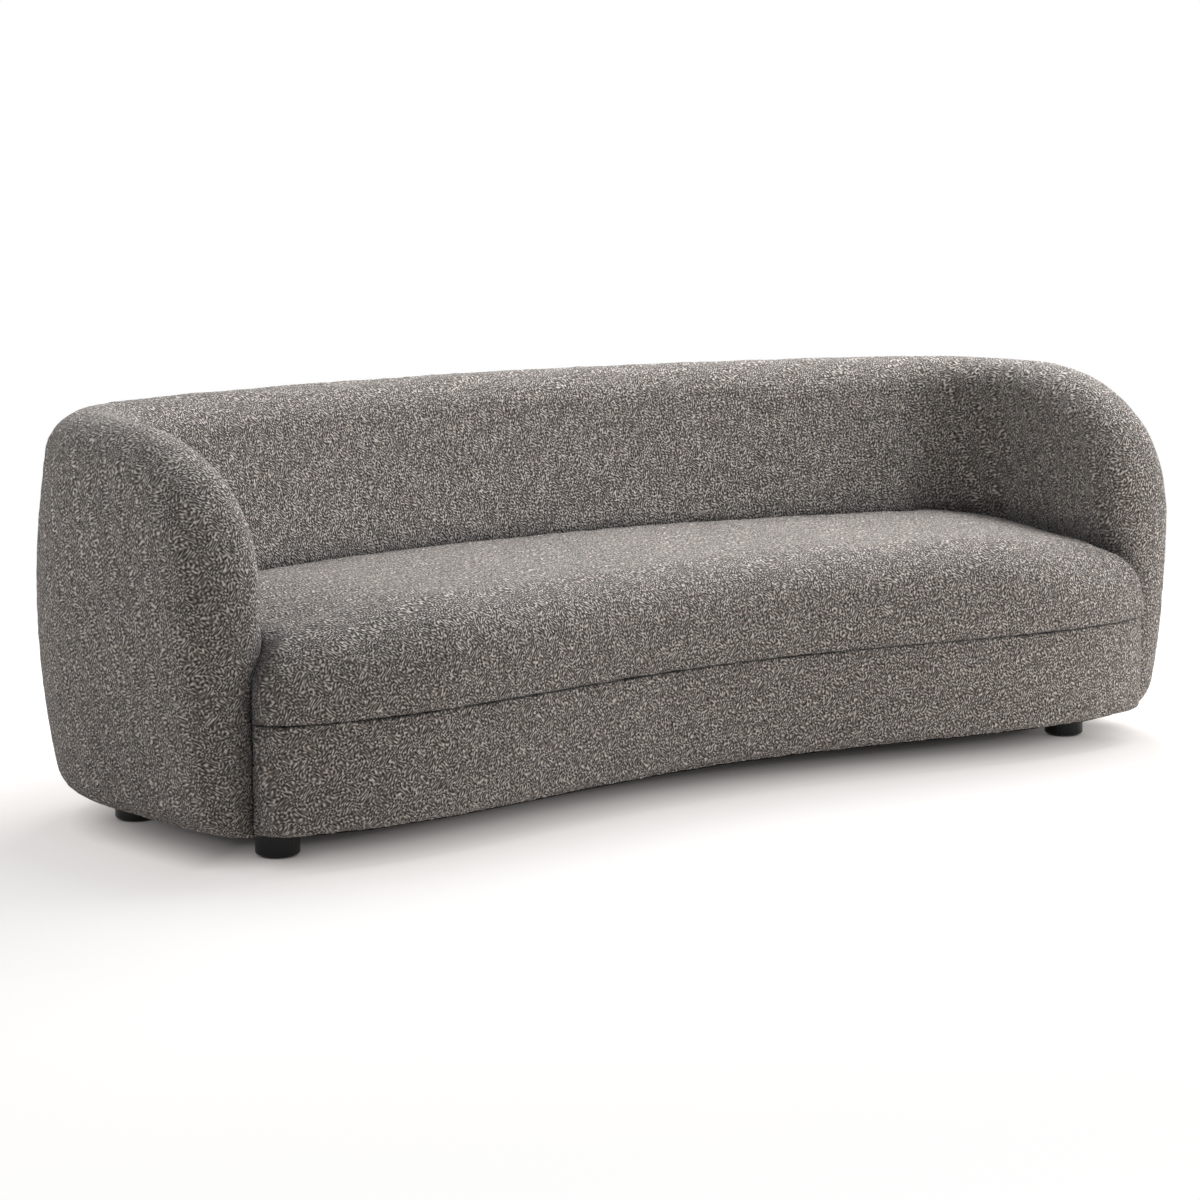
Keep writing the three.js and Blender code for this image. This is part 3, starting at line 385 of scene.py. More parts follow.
def rail_levels():
    """The rail's section from under the hem over its top, as heights and depths behind the front line."""
    levels = [(UNDERSIDE, depth) for depth in UNDER_DEPTHS]
    quarter = [(math.sin(angle), math.cos(angle)) for angle in np.linspace(0, math.pi / 2, 7)]
    for sine, cosine in quarter:
        levels.append((UNDERSIDE + RAIL_HEM_ROUND * (1 - cosine), RAIL_HEM_ROUND * (1 - sine)))
    for height in np.linspace(UNDERSIDE + RAIL_HEM_ROUND, SEAM_HEIGHT - RAIL_TOP_ROUND, 24)[1:-1]:
        levels.append((height, 0.0))
    for sine, cosine in quarter:
        levels.append((SEAM_HEIGHT - RAIL_TOP_ROUND * (1 - sine), RAIL_TOP_ROUND * (1 - cosine)))
    for depth in np.linspace(RAIL_TOP_ROUND, RAIL_TOP_DEPTH, 7)[1:]:
        levels.append((SEAM_HEIGHT, depth))
    for angle in np.linspace(0, math.pi / 2, 4)[1:]:
        levels.append((SEAM_HEIGHT - RAIL_BACK_ROUND * (1 - math.cos(angle)),
                       RAIL_TOP_DEPTH + RAIL_BACK_ROUND * math.sin(angle)))
    return levels + [(height, RAIL_TOP_DEPTH + RAIL_BACK_ROUND) for height in BACK_HEIGHTS]


def build_rail():
    x = front_path()
    room = np.maximum(nose_depth(x) - RAIL_ARM_GAP, 0)
    lift = RAIL_END_LIFT + RAIL_BOW * (1 - (x / END_X) ** 2)
    rows = []
    for height, depth in rail_levels():
        up = np.clip((height - UNDERSIDE) / (SEAM_HEIGHT - UNDERSIDE), 0, 1)
        inward = np.minimum(depth, room)
        shrink = np.minimum(inward, RAIL_END_SHRINK)
        plan_x = x * (1 - shrink / SOFT_END_X)
        y = front_y(plan_x * SOFT_END_X / (SOFT_END_X - shrink)) + inward - RAIL_SWELL * math.sin(math.pi * up)
        raised = (np.clip((HEM_TUCK - depth) / TUCK_RAMP, 0, 1)
                  * np.clip((SEAM_HEIGHT - height) / RAIL_SLOPE_HEIGHT, 0, 1))
        flap = RAIL_FLAP_RISE if height < UNDERSIDE + RAIL_HEM_ROUND / 2 else 0.0
        rows.append(np.stack([plan_x, y, height + np.maximum(lift * raised, flap)], axis=-1))
    rail = grid_mesh("front_rail_boucle", np.stack(rows))
    roughen(rail, FUZZ)
    return rail


# Cushion

CUSHION_LOW = SEAM_HEIGHT + FIT_GAP
CUSHION_FACE = 81.0
CUSHION_FRONT_FALL = SEAT_HEIGHT - SEAM_HEIGHT - CUSHION_FACE
CUSHION_FRONT_REACH = 120.0
CUSHION_FRONT_SHARE = 0.5
CUSHION_WALL_REACH = 20.0
CUSHION_WALL_SHARE = 0.2
CUSHION_WALL_FALL = 16.0
CUSHION_CROWN = 7.0
CUSHION_CROWN_REACH = 180.0
CUSHION_SLACK = 0.8
CUSHION_SWELL = 5.0
CUSHION_SWELL_START = 0.12
CUSHION_BOTTOM_ROUND = 5.0
# Where the cushion is narrower than this, its front rounding and swell shrink with it.
CUSHION_FULL_WIDTH = 40.0
CUSHION_COLUMNS = 281
# The columns crowd towards the ends of the cushion by this share.
COLUMN_CROWDING = 0.035
BLOCK_ROWS = 4000


def path_distance(path, points):
    """Distance in plan from each point to a polyline."""
    start = path[:-1, :2]
    step = path[1:, :2] - start
    length = np.maximum((step ** 2).sum(1), 1e-9)
    best = np.full(len(points), np.inf)
    for first in range(0, len(points), BLOCK_ROWS):
        rows = points[first:first + BLOCK_ROWS, None, :2] - start[None]
        share = np.clip((rows * step[None]).sum(2) / length[None], 0, 1)
        gap = rows - share[..., None] * step[None]
        best[first:first + BLOCK_ROWS] = np.sqrt((gap ** 2).sum(2)).min(1)
    return best


def wall_path():
    """The wall's inner side round the seat, from arm front to arm front, with its stations."""
    nose = NOSE_START + CREST_ROUND * quarter_steps(60)
    station = mirrored(np.concatenate([np.linspace(0, NOSE_START, 220), nose]))
    seat = inner_offset(station, SEAT_HEIGHT) + CUSHION_SLACK
    path = offset_points(station, -seat * fullness(station, SEAM_HEIGHT + 0 * station), 0.0)
    keep = np.abs(path[:, 0]) < SOFT_END_X
    return path[keep], station[keep]


def resample(path, *extra):
    """The path at even steps that crowd towards its ends, flat, and any values that go with its points."""
    step = np.hypot(*np.diff(path[:, :2], axis=0).T)
    length = np.concatenate([[0], np.cumsum(step)])
    share = np.linspace(0, 1, CUSHION_COLUMNS)
    at = (share - COLUMN_CROWDING * np.sin(2 * math.pi * share)) * length[-1]
    axes = [np.interp(at, length, path[:, axis]) for axis in range(2)]
    points = np.stack([*axes, np.zeros(CUSHION_COLUMNS)], axis=-1)
    return (points, *(np.interp(at, length, values) for values in extra))


def quarter_fall(share):
    """A rounding's fall: 1 at its edge and 0 from its full reach on."""
    return 1 - np.sqrt(1 - (1 - np.clip(share, 0, 1)) ** 2)


def cushion_shares(width):
    """Rows between the front line and the wall as shares of the way, crowded at both edges."""
    front_part = np.minimum(CUSHION_FRONT_REACH / np.maximum(width, 1), CUSHION_FRONT_SHARE)
    wall_part = np.minimum(CUSHION_WALL_REACH / np.maximum(width, 1), CUSHION_WALL_SHARE)
    rows = [share * front_part for share in cosine_steps(16)]
    rows += [front_part + share * (1 - wall_part - front_part) for share in np.linspace(0, 1, 52)[1:-1]]
    rows += [1 - share * wall_part for share in cosine_steps(7)[::-1]]
    return np.stack(rows)


def cushion_top(front, wall, station, front_line, wall_line):
    """The seat's upper side: crowned, falling broadly to the front and tightly to the wall."""
    shares = cushion_shares(np.hypot(*(wall - front)[:, :2].T))
    top = front[None] + shares[..., None] * (wall - front)[None]
    flat = top.reshape(-1, 3)
    from_front = path_distance(front_line, flat).reshape(shares.shape)
    from_wall = path_distance(wall_line, flat).reshape(shares.shape)
    drop = np.hypot(CUSHION_FRONT_FALL * quarter_fall(from_front / CUSHION_FRONT_REACH),
                    CUSHION_WALL_FALL * quarter_fall(from_wall / CUSHION_WALL_REACH))
    crown = smooth(np.minimum(np.minimum(from_front, from_wall) / CUSHION_CROWN_REACH, 1))
    arm_share = smooth(np.clip((np.abs(station) - BACK_ARC) / (NOSE_START - BACK_ARC), 0, 1))
    top[..., 2] = SEAT_HEIGHT - SEAT_ARM_DROP * arm_share[None] - drop + CUSHION_CROWN * crown
    return top


def front_edge(front):
    """The way in from each point of the front line, in plan."""
    corner = np.clip((np.abs(front[:, 0]) - (SOFT_END_X - FRONT_CORNER_ROUND)) / FRONT_CORNER_ROUND, 0, 1)
    return np.stack([-np.sign(front[:, 0]) * corner, np.sqrt(1 - corner ** 2), 0 * corner], axis=-1)


def build_cushion():
    wall_line, stations = wall_path()
    x = front_path(4.0)
    front_line = np.stack([x, front_y(x), 0 * x], axis=-1)
    wall_line[0], wall_line[-1] = front_line[0], front_line[-1]
    wall, station = resample(wall_line, stations)
    front, = resample(front_line)
    top = cushion_top(front, wall, station, front_line, wall_line)
    room = np.clip(np.hypot(*(wall - front)[:, :2].T) / CUSHION_FULL_WIDTH, 0, 1)[:, None]
    edge = front_edge(front) * room
    round_top = CUSHION_LOW + CUSHION_BOTTOM_ROUND
    rows = []
    for angle in np.linspace(0, math.pi / 2, 6)[:-1]:
        row = front + edge * CUSHION_BOTTOM_ROUND * (1 - math.sin(angle))
        row[:, 2] = CUSHION_LOW + CUSHION_BOTTOM_ROUND * (1 - math.cos(angle))
        rows.append(row)
    for share in np.linspace(0, 1, 14)[:-1]:
        up = CUSHION_SWELL_START + (1 - CUSHION_SWELL_START) * share
        row = front - edge * CUSHION_SWELL * math.sin(math.pi * up)
        row[:, 2] = round_top + share * (top[0, :, 2] - round_top)
        rows.append(row)
    rows.extend(top)
    for share in np.linspace(0, 1, 12)[1:]:
        row = wall.copy()
        row[:, 2] = top[-1, :, 2] + share * (CUSHION_LOW - top[-1, :, 2])
        rows.append(row)
    for share in np.linspace(0, 1, 12)[1:-1]:
        row = wall + share * (front + edge * CUSHION_BOTTOM_ROUND - wall)
        row[:, 2] = CUSHION_LOW
        rows.append(row)
    cushion = grid_mesh("seat_cushion_boucle", np.stack(rows), closed_rows=True)
    roughen(cushion, FUZZ)
    return cushion


# Deck pad and dust cover

WELD_DISTANCE = 0.00001
UNDER_TOLERANCE = 0.0001


def node_outline(name):
    """Plan loops, in millimetres, round the underside of a flat CAD node, the longest loop first."""
    node = frame["nodes"][name]
    copy = bmesh.new()
    copy.from_mesh(node.data)
    copy.transform(node.matrix_world)
    bmesh.ops.remove_doubles(copy, verts=copy.verts, dist=WELD_DISTANCE)
    low = min(vert.co.z for vert in copy.verts) + UNDER_TOLERANCE
    under = {face for face in copy.faces if all(vert.co.z < low for vert in face.verts)}
    rims = [edge for edge in copy.edges if sum(face in under for face in edge.link_faces) == 1]
    follow = {}
    for edge in rims:
        first, second = edge.verts
        follow.setdefault(first, []).append(second)
        follow.setdefault(second, []).append(first)
    loops = []
    left = set(follow)
    while left:
        start = here = min(left, key=lambda vert: vert.index)
        loop = [start]
        left.discard(start)
        while True:
            ahead = [vert for vert in follow[here] if vert in left]
            if not ahead:
                break
            here = ahead[0]
            left.discard(here)
            loop.append(here)
        loops.append(np.array([[vert.co.x, vert.co.y] for vert in loop]) * 1000)
    copy.free()
    return sorted(loops, key=lambda loop: -np.ptp(loop[:, 0]))


def closed(loop):
    return np.concatenate([loop, loop[:1]])


def signed_area(loop):
    ring = closed(loop)
    return 0.5 * float((ring[:-1, 0] * ring[1:, 1] - ring[1:, 0] * ring[:-1, 1]).sum())


def fine_loop(loop, spacing):
    """The loop with its long edges split, run against the clock."""
    if signed_area(loop) < 0:
        loop = loop[::-1]
    points = []
    for first, second in zip(loop, np.roll(loop, -1, axis=0)):
        parts = max(1, int(round(np.hypot(*(second - first)) / spacing)))
        points.extend(first + (second - first) * part / parts for part in range(parts))
    return np.array(points)


def shrunk(loop, inset):
    """The loop moved in by an inset, or out by a negative one."""
    before, after = np.roll(loop, 1, axis=0), np.roll(loop, -1, axis=0)
    along = after - before
    along /= np.maximum(np.hypot(along[:, 0], along[:, 1]), 1e-6)[:, None]
    return loop + inset * np.stack([-along[:, 1], along[:, 0]], axis=-1)


def inside_loop(points, loop):
    ring = closed(loop)
    x, y = points[:, 0][:, None], points[:, 1][:, None]
    low, high = ring[:-1], ring[1:]
    crosses = (low[None, :, 1] > y) != (high[None, :, 1] > y)
    rise = np.where(high[:, 1] == low[:, 1], 1e-9, high[:, 1] - low[:, 1])
    at = low[None, :, 0] + (y - low[None, :, 1]) * ((high[:, 0] - low[:, 0]) / rise)[None]
    return (crosses & (x < at)).sum(1) % 2 == 1


# Lines of even triangles lie this share of their side apart.
LINE_SHARE = 0.87


def flat_cut(loops, spacing, insets):
    """Points and triangles between an outer loop and its holes, with rings set in from the outer edge."""
    outer, holes = loops[0], loops[1:]
    rings = [shrunk(outer, inset) for inset in insets]
    low, high = outer.min(0), outer.max(0)
    columns = np.arange(low[0], high[0], spacing)
    lines = np.arange(low[1], high[1], spacing * LINE_SHARE)
    grid = np.stack(np.meshgrid(columns, lines), axis=-1)
    grid[1::2, :, 0] += spacing / 2
    grid = grid.reshape(-1, 2)
    grid = grid[inside_loop(grid, outer)]
    grid = grid[path_distance(closed(outer), grid) > insets[-1] + spacing * 0.5]
    for hole in holes:
        grid = grid[~inside_loop(grid, hole)]
        grid = grid[path_distance(closed(hole), grid) > spacing * 0.5]
    points = np.concatenate([outer, *holes, *rings, grid])
    edges = []
    first = 0
    for loop in [outer, *holes]:
        edges.extend((first + step, first + (step + 1) % len(loop)) for step in range(len(loop)))
        first += len(loop)
    cut = delaunay_2d_cdt([Vector(point) for point in points], edges, [], 0, 1e-4)
    flat = np.array([tuple(point) for point in cut[0]])
    faces = np.array([face for face in cut[2] if len(face) == 3])
    middle = flat[faces].mean(1)
    keep = inside_loop(middle, outer)
    for hole in holes:
        keep &= ~inside_loop(middle, hole)
    faces = faces[keep]
    corner = flat[faces]
    turn = np.cross(corner[:, 1] - corner[:, 0], corner[:, 2] - corner[:, 0])
    faces[turn < 0] = faces[turn < 0][:, ::-1]
    return flat, faces


def slab(name, flat, faces, top, bottom):
    """A closed piece over a flat cut, between an upper and a lower height at each point."""
    count = len(flat)
    points = np.concatenate([np.column_stack([flat, top]), np.column_stack([flat, bottom])]) / 1000
    sides = dict.fromkeys((int(first), int(second))
                          for face in faces for first, second in zip(face, np.roll(face, -1)))
    walls = [(first + count, second + count, second, first)
             for first, second in sides if (second, first) not in sides]
    shape = [tuple(int(corner) for corner in face) for face in faces]
    shape += [tuple(int(corner) + count for corner in face[::-1]) for face in faces]
    piece = mesh_piece(name, points, shape + walls)
    clean_up(piece)
    return piece


DECK_LOW, DECK_TOP = 230.3, 242.2
DECK_SPACING = 12.0
DECK_GRID = 11.0
DECK_INSET = 0.6
DECK_RINGS = [0.7, 2.2, 4.6]
DECK_ROUND = 4.5
DECK_CHANNEL = 96.0
DECK_STITCH = 2.6
# The seam between two channels takes this share of half a channel.
STITCH_SHARE = 0.20
DECK_SLACK = 0.5
DECK_LEAST = 3.0
# Uneven felt: scale per metre, height in millimetres and seed.
DECK_LUMPS = [(22.0, 0.5, 41), (70.0, 0.35, 42)]


def uneven(flat, layers, stretch=(1, 1, 1)):
    """Layers of noise over plan points in millimetres, of which only the first is stretched."""
    points = np.column_stack([flat, np.zeros(len(flat))]) / 1000
    first, *rest = layers
    return (lattice_noise(points * stretch, first[0], first[2]) * first[1]
            + sum(lattice_noise(points, scale, seed) * height for scale, height, seed in rest))


def build_deck():
    """Soft felt pad over the springs, sewn in long channels, with a rolled edge."""
    edge = shrunk(fine_loop(node_outline("deck_pad")[0], DECK_SPACING), DECK_INSET)
    outer = fine_loop(edge, DECK_SPACING)
    flat, faces = flat_cut([outer], DECK_GRID, DECK_RINGS)
    roll = 1 - np.clip(path_distance(closed(outer), flat) / DECK_ROUND, 0, 1)
    fall = DECK_ROUND * (1 - np.sqrt(1 - roll ** 2))
    channel = np.abs(((flat[:, 0] / DECK_CHANNEL) % 1) - 0.5) * 2
    stitch = np.clip((channel - (1 - STITCH_SHARE)) / STITCH_SHARE, 0, 1) ** 2 * DECK_STITCH
    soft = uneven(flat, DECK_LUMPS)
    level = DECK_TOP - DECK_SLACK - fall - stitch + np.minimum(soft, DECK_SLACK)
    return slab("deck_felt_pad", flat, faces, np.maximum(level, DECK_LOW + DECK_LEAST), DECK_LOW + fall * 0.5)


COVER_TOP, COVER_THICK = 57.6, 0.6
COVER_EDGE = 14.0
COVER_SPACING = 15.0
COVER_REACH = 6.0
COVER_SAG = 5.0
COVER_FOLD = 16.0
FOLD_STEP = 1.5
FOLD_THICK = 0.5
FOLD_BLEND = 1.2
# Around the feet's holes the cover is held as if it were this much nearer its edge.
HOLE_HOLD = 30.0
SLACK_START, SLACK_LENGTH = 70.0, 130.0
# Creases, given as the felt's lumps are; the first layer runs finer along Y.
COVER_CREASES = [(9.0, 1.4, 51), (24.0, 0.6, 52)]
CREASE_STRETCH = (1, 2.4, 1)
PLEAT_DEPTH = 0.35
PLEAT_LENGTH = 60.0
PLEAT_SKEW = 0.3
STAPLE_STEP = 62.0
STAPLE_SIZE = (11.0, 1.3, 0.7)
STAPLE_SINK = 0.2
BOX_FACES = ((3, 2, 1, 0), (4, 5, 6, 7), (0, 1, 5, 4), (1, 2, 6, 5), (2, 3, 7, 6), (3, 0, 4, 7))


def build_dust_cover():
    """Thin black cover under the base: folded in at its edge, slack between the boards, stapled all round."""
    loops = [fine_loop(loop, COVER_EDGE) for loop in node_outline("dust_cloth")]
    loops[0] = shrunk(loops[0], -COVER_REACH)
    flat, faces = flat_cut(loops, COVER_SPACING, [COVER_FOLD - FOLD_STEP, COVER_FOLD])
    reach = path_distance(closed(loops[0]), flat)
    for hole in loops[1:]:
        reach = np.minimum(reach, path_distance(closed(hole), flat) + HOLE_HOLD)
    slack = smooth(np.clip((reach - SLACK_START) / SLACK_LENGTH, 0, 1))
    crease = uneven(flat, COVER_CREASES, CREASE_STRETCH)
    pleat = np.clip(1 - reach / PLEAT_LENGTH, 0, 1) * np.clip(reach / COVER_FOLD, 0, 1)
    along = np.sin(2 * math.pi * (flat[:, 0] + flat[:, 1] * PLEAT_SKEW) / STAPLE_STEP)
    level = COVER_TOP - (COVER_SAG + crease) * slack - PLEAT_DEPTH * pleat * (1 + along)
    folded = np.clip((COVER_FOLD - reach) / FOLD_BLEND, 0, 1)
    return slab("dust_cover", flat, faces, level, level - COVER_THICK - FOLD_THICK * folded), loops


def build_staples(loops):
    """Wire staples through the fold of the dust cover."""
    line = closed(shrunk(loops[0], COVER_FOLD / 2))
    step = np.diff(line, axis=0)
    length = np.concatenate([[0], np.cumsum(np.hypot(step[:, 0], step[:, 1]))])
    places = np.arange(STAPLE_STEP / 2, length[-1], STAPLE_STEP)
    half = np.array(STAPLE_SIZE) / 2
    middle = COVER_TOP - COVER_THICK - FOLD_THICK - half[2] * STAPLE_SINK
    points, faces = [], []
    for place in places:
        at = np.array([np.interp(place, length, line[:, axis]) for axis in range(2)])
        ahead = np.array([np.interp(place + 2, length, line[:, axis]) for axis in range(2)]) - at
        ahead /= np.hypot(*ahead)
        across = np.array([-ahead[1], ahead[0]])
        first = len(points)
        for up in (-1, 1):
            for side, end in ((-1, -1), (1, -1), (1, 1), (-1, 1)):
                spot = at + ahead * side * half[0] + across * end * half[1]
                points.append((*spot, middle + up * half[2]))
        faces += [tuple(first + corner for corner in face) for face in BOX_FACES]
    return mesh_piece("cover_staples", np.array(points) / 1000, faces)


# Materials

def node_material(name):
    material = bpy.data.materials.new(name)
    material.use_nodes = True
    tree = material.node_tree
    shader = tree.nodes["Principled BSDF"]
    return material, tree, shader


def add_node(tree, kind, **settings):
    node = tree.nodes.new(kind)
    for key, value in settings.items():
        setattr(node, key, value)
    return node


def plug(tree, sockets, values):
    """Sets or links each socket, by what its value is, and leaves one whose value is None."""
    for socket, value in zip(sockets, values):
        if isinstance(value, (int, float, tuple)):
            socket.default_value = value
        elif value is not None:
            tree.links.new(value, socket)


def math_node(tree, operation, first, second=None, third=None, clamp=False):
    node = add_node(tree, "ShaderNodeMath", operation=operation, use_clamp=clamp)
    plug(tree, node.inputs, (first, second, third))
    return node.outputs[0]


def noise_node(tree, vector, scale, detail, distortion=0.0):
    node = add_node(tree, "ShaderNodeTexNoise")
    node.inputs["Scale"].default_value = scale
    node.inputs["Detail"].default_value = detail
    node.inputs["Distortion"].default_value = distortion
    tree.links.new(vector, node.inputs["Vector"])
    return node.outputs["Fac"]


def ramp_node(tree, value, stops):
    node = add_node(tree, "ShaderNodeValToRGB")
    ramp = node.color_ramp
    while len(ramp.elements) < len(stops):
        ramp.elements.new(0.5)
    for element, (place, colour) in zip(ramp.elements, stops):
        element.position = place
        element.color = (*colour, 1.0)
    tree.links.new(value, node.inputs["Fac"])
    return node.outputs["Color"]


def vector_math(tree, operation, first, second=None, scale=None):
    node = add_node(tree, "ShaderNodeVectorMath", operation=operation)
    plug(tree, node.inputs, (first, second, None, scale))
    return node.outputs["Value" if operation in ("DOT_PRODUCT", "LENGTH") else "Vector"]


def add_bump(tree, shader, height, strength, distance):
    bump = add_node(tree, "ShaderNodeBump")
    bump.inputs["Strength"].default_value = strength
    bump.inputs["Distance"].default_value = distance
    tree.links.new(height, bump.inputs["Height"])
    tree.links.new(bump.outputs["Normal"], shader.inputs["Normal"])


def occlusion(tree, reach, samples):
    """1 in the open and less where other surfaces lie within the reach."""
    node = add_node(tree, "ShaderNodeAmbientOcclusion", samples=samples)
    node.inputs["Distance"].default_value = reach
    return node.outputs["AO"]


def swayed(tree, vector, period, amount, turn):
    """Moves a vector by slow sine waves of its own turned axes."""
    node = add_node(tree, "ShaderNodeMapping")
    node.inputs["Rotation"].default_value = turn
    node.inputs["Scale"].default_value = (2 * math.pi / period,) * 3
    tree.links.new(vector, node.inputs["Vector"])
    wave = vector_math(tree, "SINE", node.outputs[0])
    return vector_math(tree, "ADD", vector, vector_math(tree, "SCALE", wave, scale=amount))


WAVES = 9
GOLDEN_TURN = 2.39996


def worm_field(tree, vector, period):
    """Winding ridges of one even width: plane waves of one period added up in many directions."""
    total = None
    for index in range(WAVES):
        rise = (index + 0.5) / WAVES
        flat = math.sqrt(1 - rise * rise)
        turn = index * GOLDEN_TURN
        size = 2 * math.pi / period
        direction = (size * flat * math.cos(turn), size * flat * math.sin(turn), size * rise)
        wave = math_node(tree, "SINE", vector_math(tree, "DOT_PRODUCT", vector, direction))
        total = wave if total is None else math_node(tree, "ADD", total, wave)
    return math_node(tree, "DIVIDE", total, math.sqrt(WAVES / 2))


YARN_PERIOD = 0.0055
YARN_CONTRAST = 0.32
# Slow sways that curl the yarn: period and reach in metres, and the turn of their axes.
YARN_CURLS = ((0.043, 0.0044, (0.7, 1.9, 0.4)), (0.016, 0.0016, (2.1, 0.3, 1.2)))
# The pattern's middle, where its waves meet, lies this far from the sofa.
PATTERN_AWAY = (3.71, 5.13, 2.97)
KNOT_SCALE, KNOT_GAIN, KNOT_LEAST = 80.0, 0.60, 0.66
FIBRE_SCALE, FIBRE_GAIN = 400.0, 0.34
# The yarn's colour by loop height: partly its own light and dark tones, partly painted shade in the gaps and a
# painted highlight on the loop tops.
YARN_TONES_AND_PAINTED_SHADE = [
    (0.10, (0.0329, 0.0256, 0.0215)),
    (0.34, (0.1250, 0.1027, 0.0883)),
    (0.70, (0.2746, 0.2323, 0.2056)),
    (0.86, (0.4946, 0.4331, 0.3924)),
    (1.00, (0.9443, 0.8600, 0.8024)),
]
YARN_RELIEF = 0.0060
# Painted shade: the yarn's colour darkens where other surfaces lie within this reach, by this power.
CREVICE_SHADE_REACH = 0.055
CREVICE_SHADE_POWER = 1.7


def boucle_material():
    """Looped yarn: winding worm-like loops, light at their tops over a dark ground, with fine fibre on them;
    the tone by loop height is partly the yarn's own and partly painted shade in the gaps and painted highlight
    on the tops, and painted shade darkens the yarn in crevices.
    """
    material, tree, shader = node_material("boucle_loops")
    place = add_node(tree, "ShaderNodeTexCoord").outputs["Object"]
    curled = vector_math(tree, "ADD", place, PATTERN_AWAY)
    for period, amount, turn in YARN_CURLS:
        curled = swayed(tree, curled, period, amount, turn)
    worms = worm_field(tree, curled, YARN_PERIOD)
    loops = math_node(tree, "MULTIPLY_ADD", worms, YARN_CONTRAST, 0.5, clamp=True)
    knots = noise_node(tree, place, KNOT_SCALE, detail=0.0)
    fibre = noise_node(tree, place, FIBRE_SCALE, detail=0.0)
    height = math_node(tree, "MULTIPLY", loops, math_node(tree, "MULTIPLY_ADD", knots, KNOT_GAIN, KNOT_LEAST))
    height = math_node(tree, "MULTIPLY_ADD", fibre, FIBRE_GAIN, height)
    # Colour by height: painted shade low in the gaps and painted highlight on the loop tops, over the yarn's
    # own tones.
    colour = ramp_node(tree, height, YARN_TONES_AND_PAINTED_SHADE)
    # Painted shade in corners, seams and crevices, multiplied into the yarn's colour.
    painted_crevice_shade = math_node(tree, "POWER", occlusion(tree, CREVICE_SHADE_REACH, samples=4), CREVICE_SHADE_POWER)
    tree.links.new(vector_math(tree, "SCALE", colour, scale=painted_crevice_shade), shader.inputs["Base Color"])
    shader.inputs["Roughness"].default_value = 0.95
    shader.inputs["Specular IOR Level"].default_value = 0.2
    shader.inputs["Sheen Weight"].default_value = 0.40
    shader.inputs["Sheen Roughness"].default_value = 0.6
    add_bump(tree, shader, height, 1.0, YARN_RELIEF)
    return material


GRAIN_STOPS = (0.3, 0.7)


def plain_material(name, tones, scale, roughness, metallic=0.0, stretch=(1, 1, 1), relief=0.0003):
    """A mottled or grained finish between two tones, from one stretched noise."""
    material, tree, shader = node_material(name)
    place = add_node(tree, "ShaderNodeTexCoord").outputs["Object"]
    mapping = add_node(tree, "ShaderNodeMapping")
    mapping.inputs["Scale"].default_value = stretch
    tree.links.new(place, mapping.inputs["Vector"])
    grain = noise_node(tree, mapping.outputs[0], scale, detail=4.0, distortion=0.4)
    tree.links.new(ramp_node(tree, grain, list(zip(GRAIN_STOPS, tones))), shader.inputs["Base Color"])
    rough = math_node(tree, "MULTIPLY_ADD", grain, 0.2, roughness - 0.1)
    tree.links.new(rough, shader.inputs["Roughness"])
    shader.inputs["Metallic"].default_value = metallic
    add_bump(tree, shader, grain, 0.6, relief)
    return material


LACQUER_TONES = ((0.0040, 0.0040, 0.0045), (0.0090, 0.0090, 0.0095))


def lacquer_material():
    material, tree, shader = node_material("black_satin_lacquer")
    place = add_node(tree, "ShaderNodeTexCoord").outputs["Object"]
    mottle = noise_node(tree, place, 60.0, detail=3.0)
    tree.links.new(ramp_node(tree, mottle, list(zip(GRAIN_STOPS, LACQUER_TONES))), shader.inputs["Base Color"])
    tree.links.new(math_node(tree, "MULTIPLY_ADD", mottle, 0.12, 0.30), shader.inputs["Roughness"])
    shader.inputs["Specular IOR Level"].default_value = 0.28
    add_bump(tree, shader, noise_node(tree, place, 240.0, detail=2.0), 0.25, 0.0002)
    return material


# Each slot's material: its name, dark and light tone, scale per metre, roughness and further settings.
FINISHES = {
    "foam": ("seat_foam", ((0.62, 0.56, 0.42), (0.74, 0.68, 0.54)), 240.0, 0.9, {}),
    "plywood": ("birch_plywood", ((0.44, 0.29, 0.16), (0.62, 0.45, 0.27)), 30.0, 0.6, {"stretch": (1, 9, 14)}),
    "hardwood": ("beech_hardwood", ((0.34, 0.20, 0.11), (0.50, 0.33, 0.19)), 26.0, 0.55,
                 {"stretch": (1, 11, 11)}),
    "bent_board": ("bending_board", ((0.28, 0.18, 0.10), (0.42, 0.29, 0.17)), 36.0, 0.7,
                   {"stretch": (3, 3, 12)}),
    "spring_steel": ("spring_steel", ((0.16, 0.17, 0.18), (0.30, 0.31, 0.32)), 90.0, 0.35, {"metallic": 1.0}),
    "zinc_steel": ("zinc_steel", ((0.50, 0.52, 0.53), (0.66, 0.67, 0.68)), 70.0, 0.4, {"metallic": 1.0}),
    "dust_cloth": ("dust_cloth", ((0.010, 0.010, 0.011), (0.030, 0.030, 0.032)), 700.0, 0.95, {}),
    "felt": ("pressed_felt", ((0.26, 0.25, 0.23), (0.42, 0.41, 0.38)), 420.0, 0.95, {"relief": 0.0006}),
    "nylon": ("zip_nylon", ((0.020, 0.020, 0.022), (0.045, 0.045, 0.05)), 500.0, 0.6, {}),
}


def dress_nodes():
    """Gives each solid its slot's material, and returns the materials by slot."""
    materials = {slot: plain_material(*finish, **more) for slot, (*finish, more) in FINISHES.items()}
    materials["black_lacquer"] = lacquer_material()
    materials["boucle"] = boucle_material()
    slots = {part["node"]: part["material_slot"] for part in frame["record"]["subparts"]}
    for name, node in frame["nodes"].items():
        node.data.materials.clear()
        node.data.materials.append(materials[slots[name]])
    return materials


# Stage

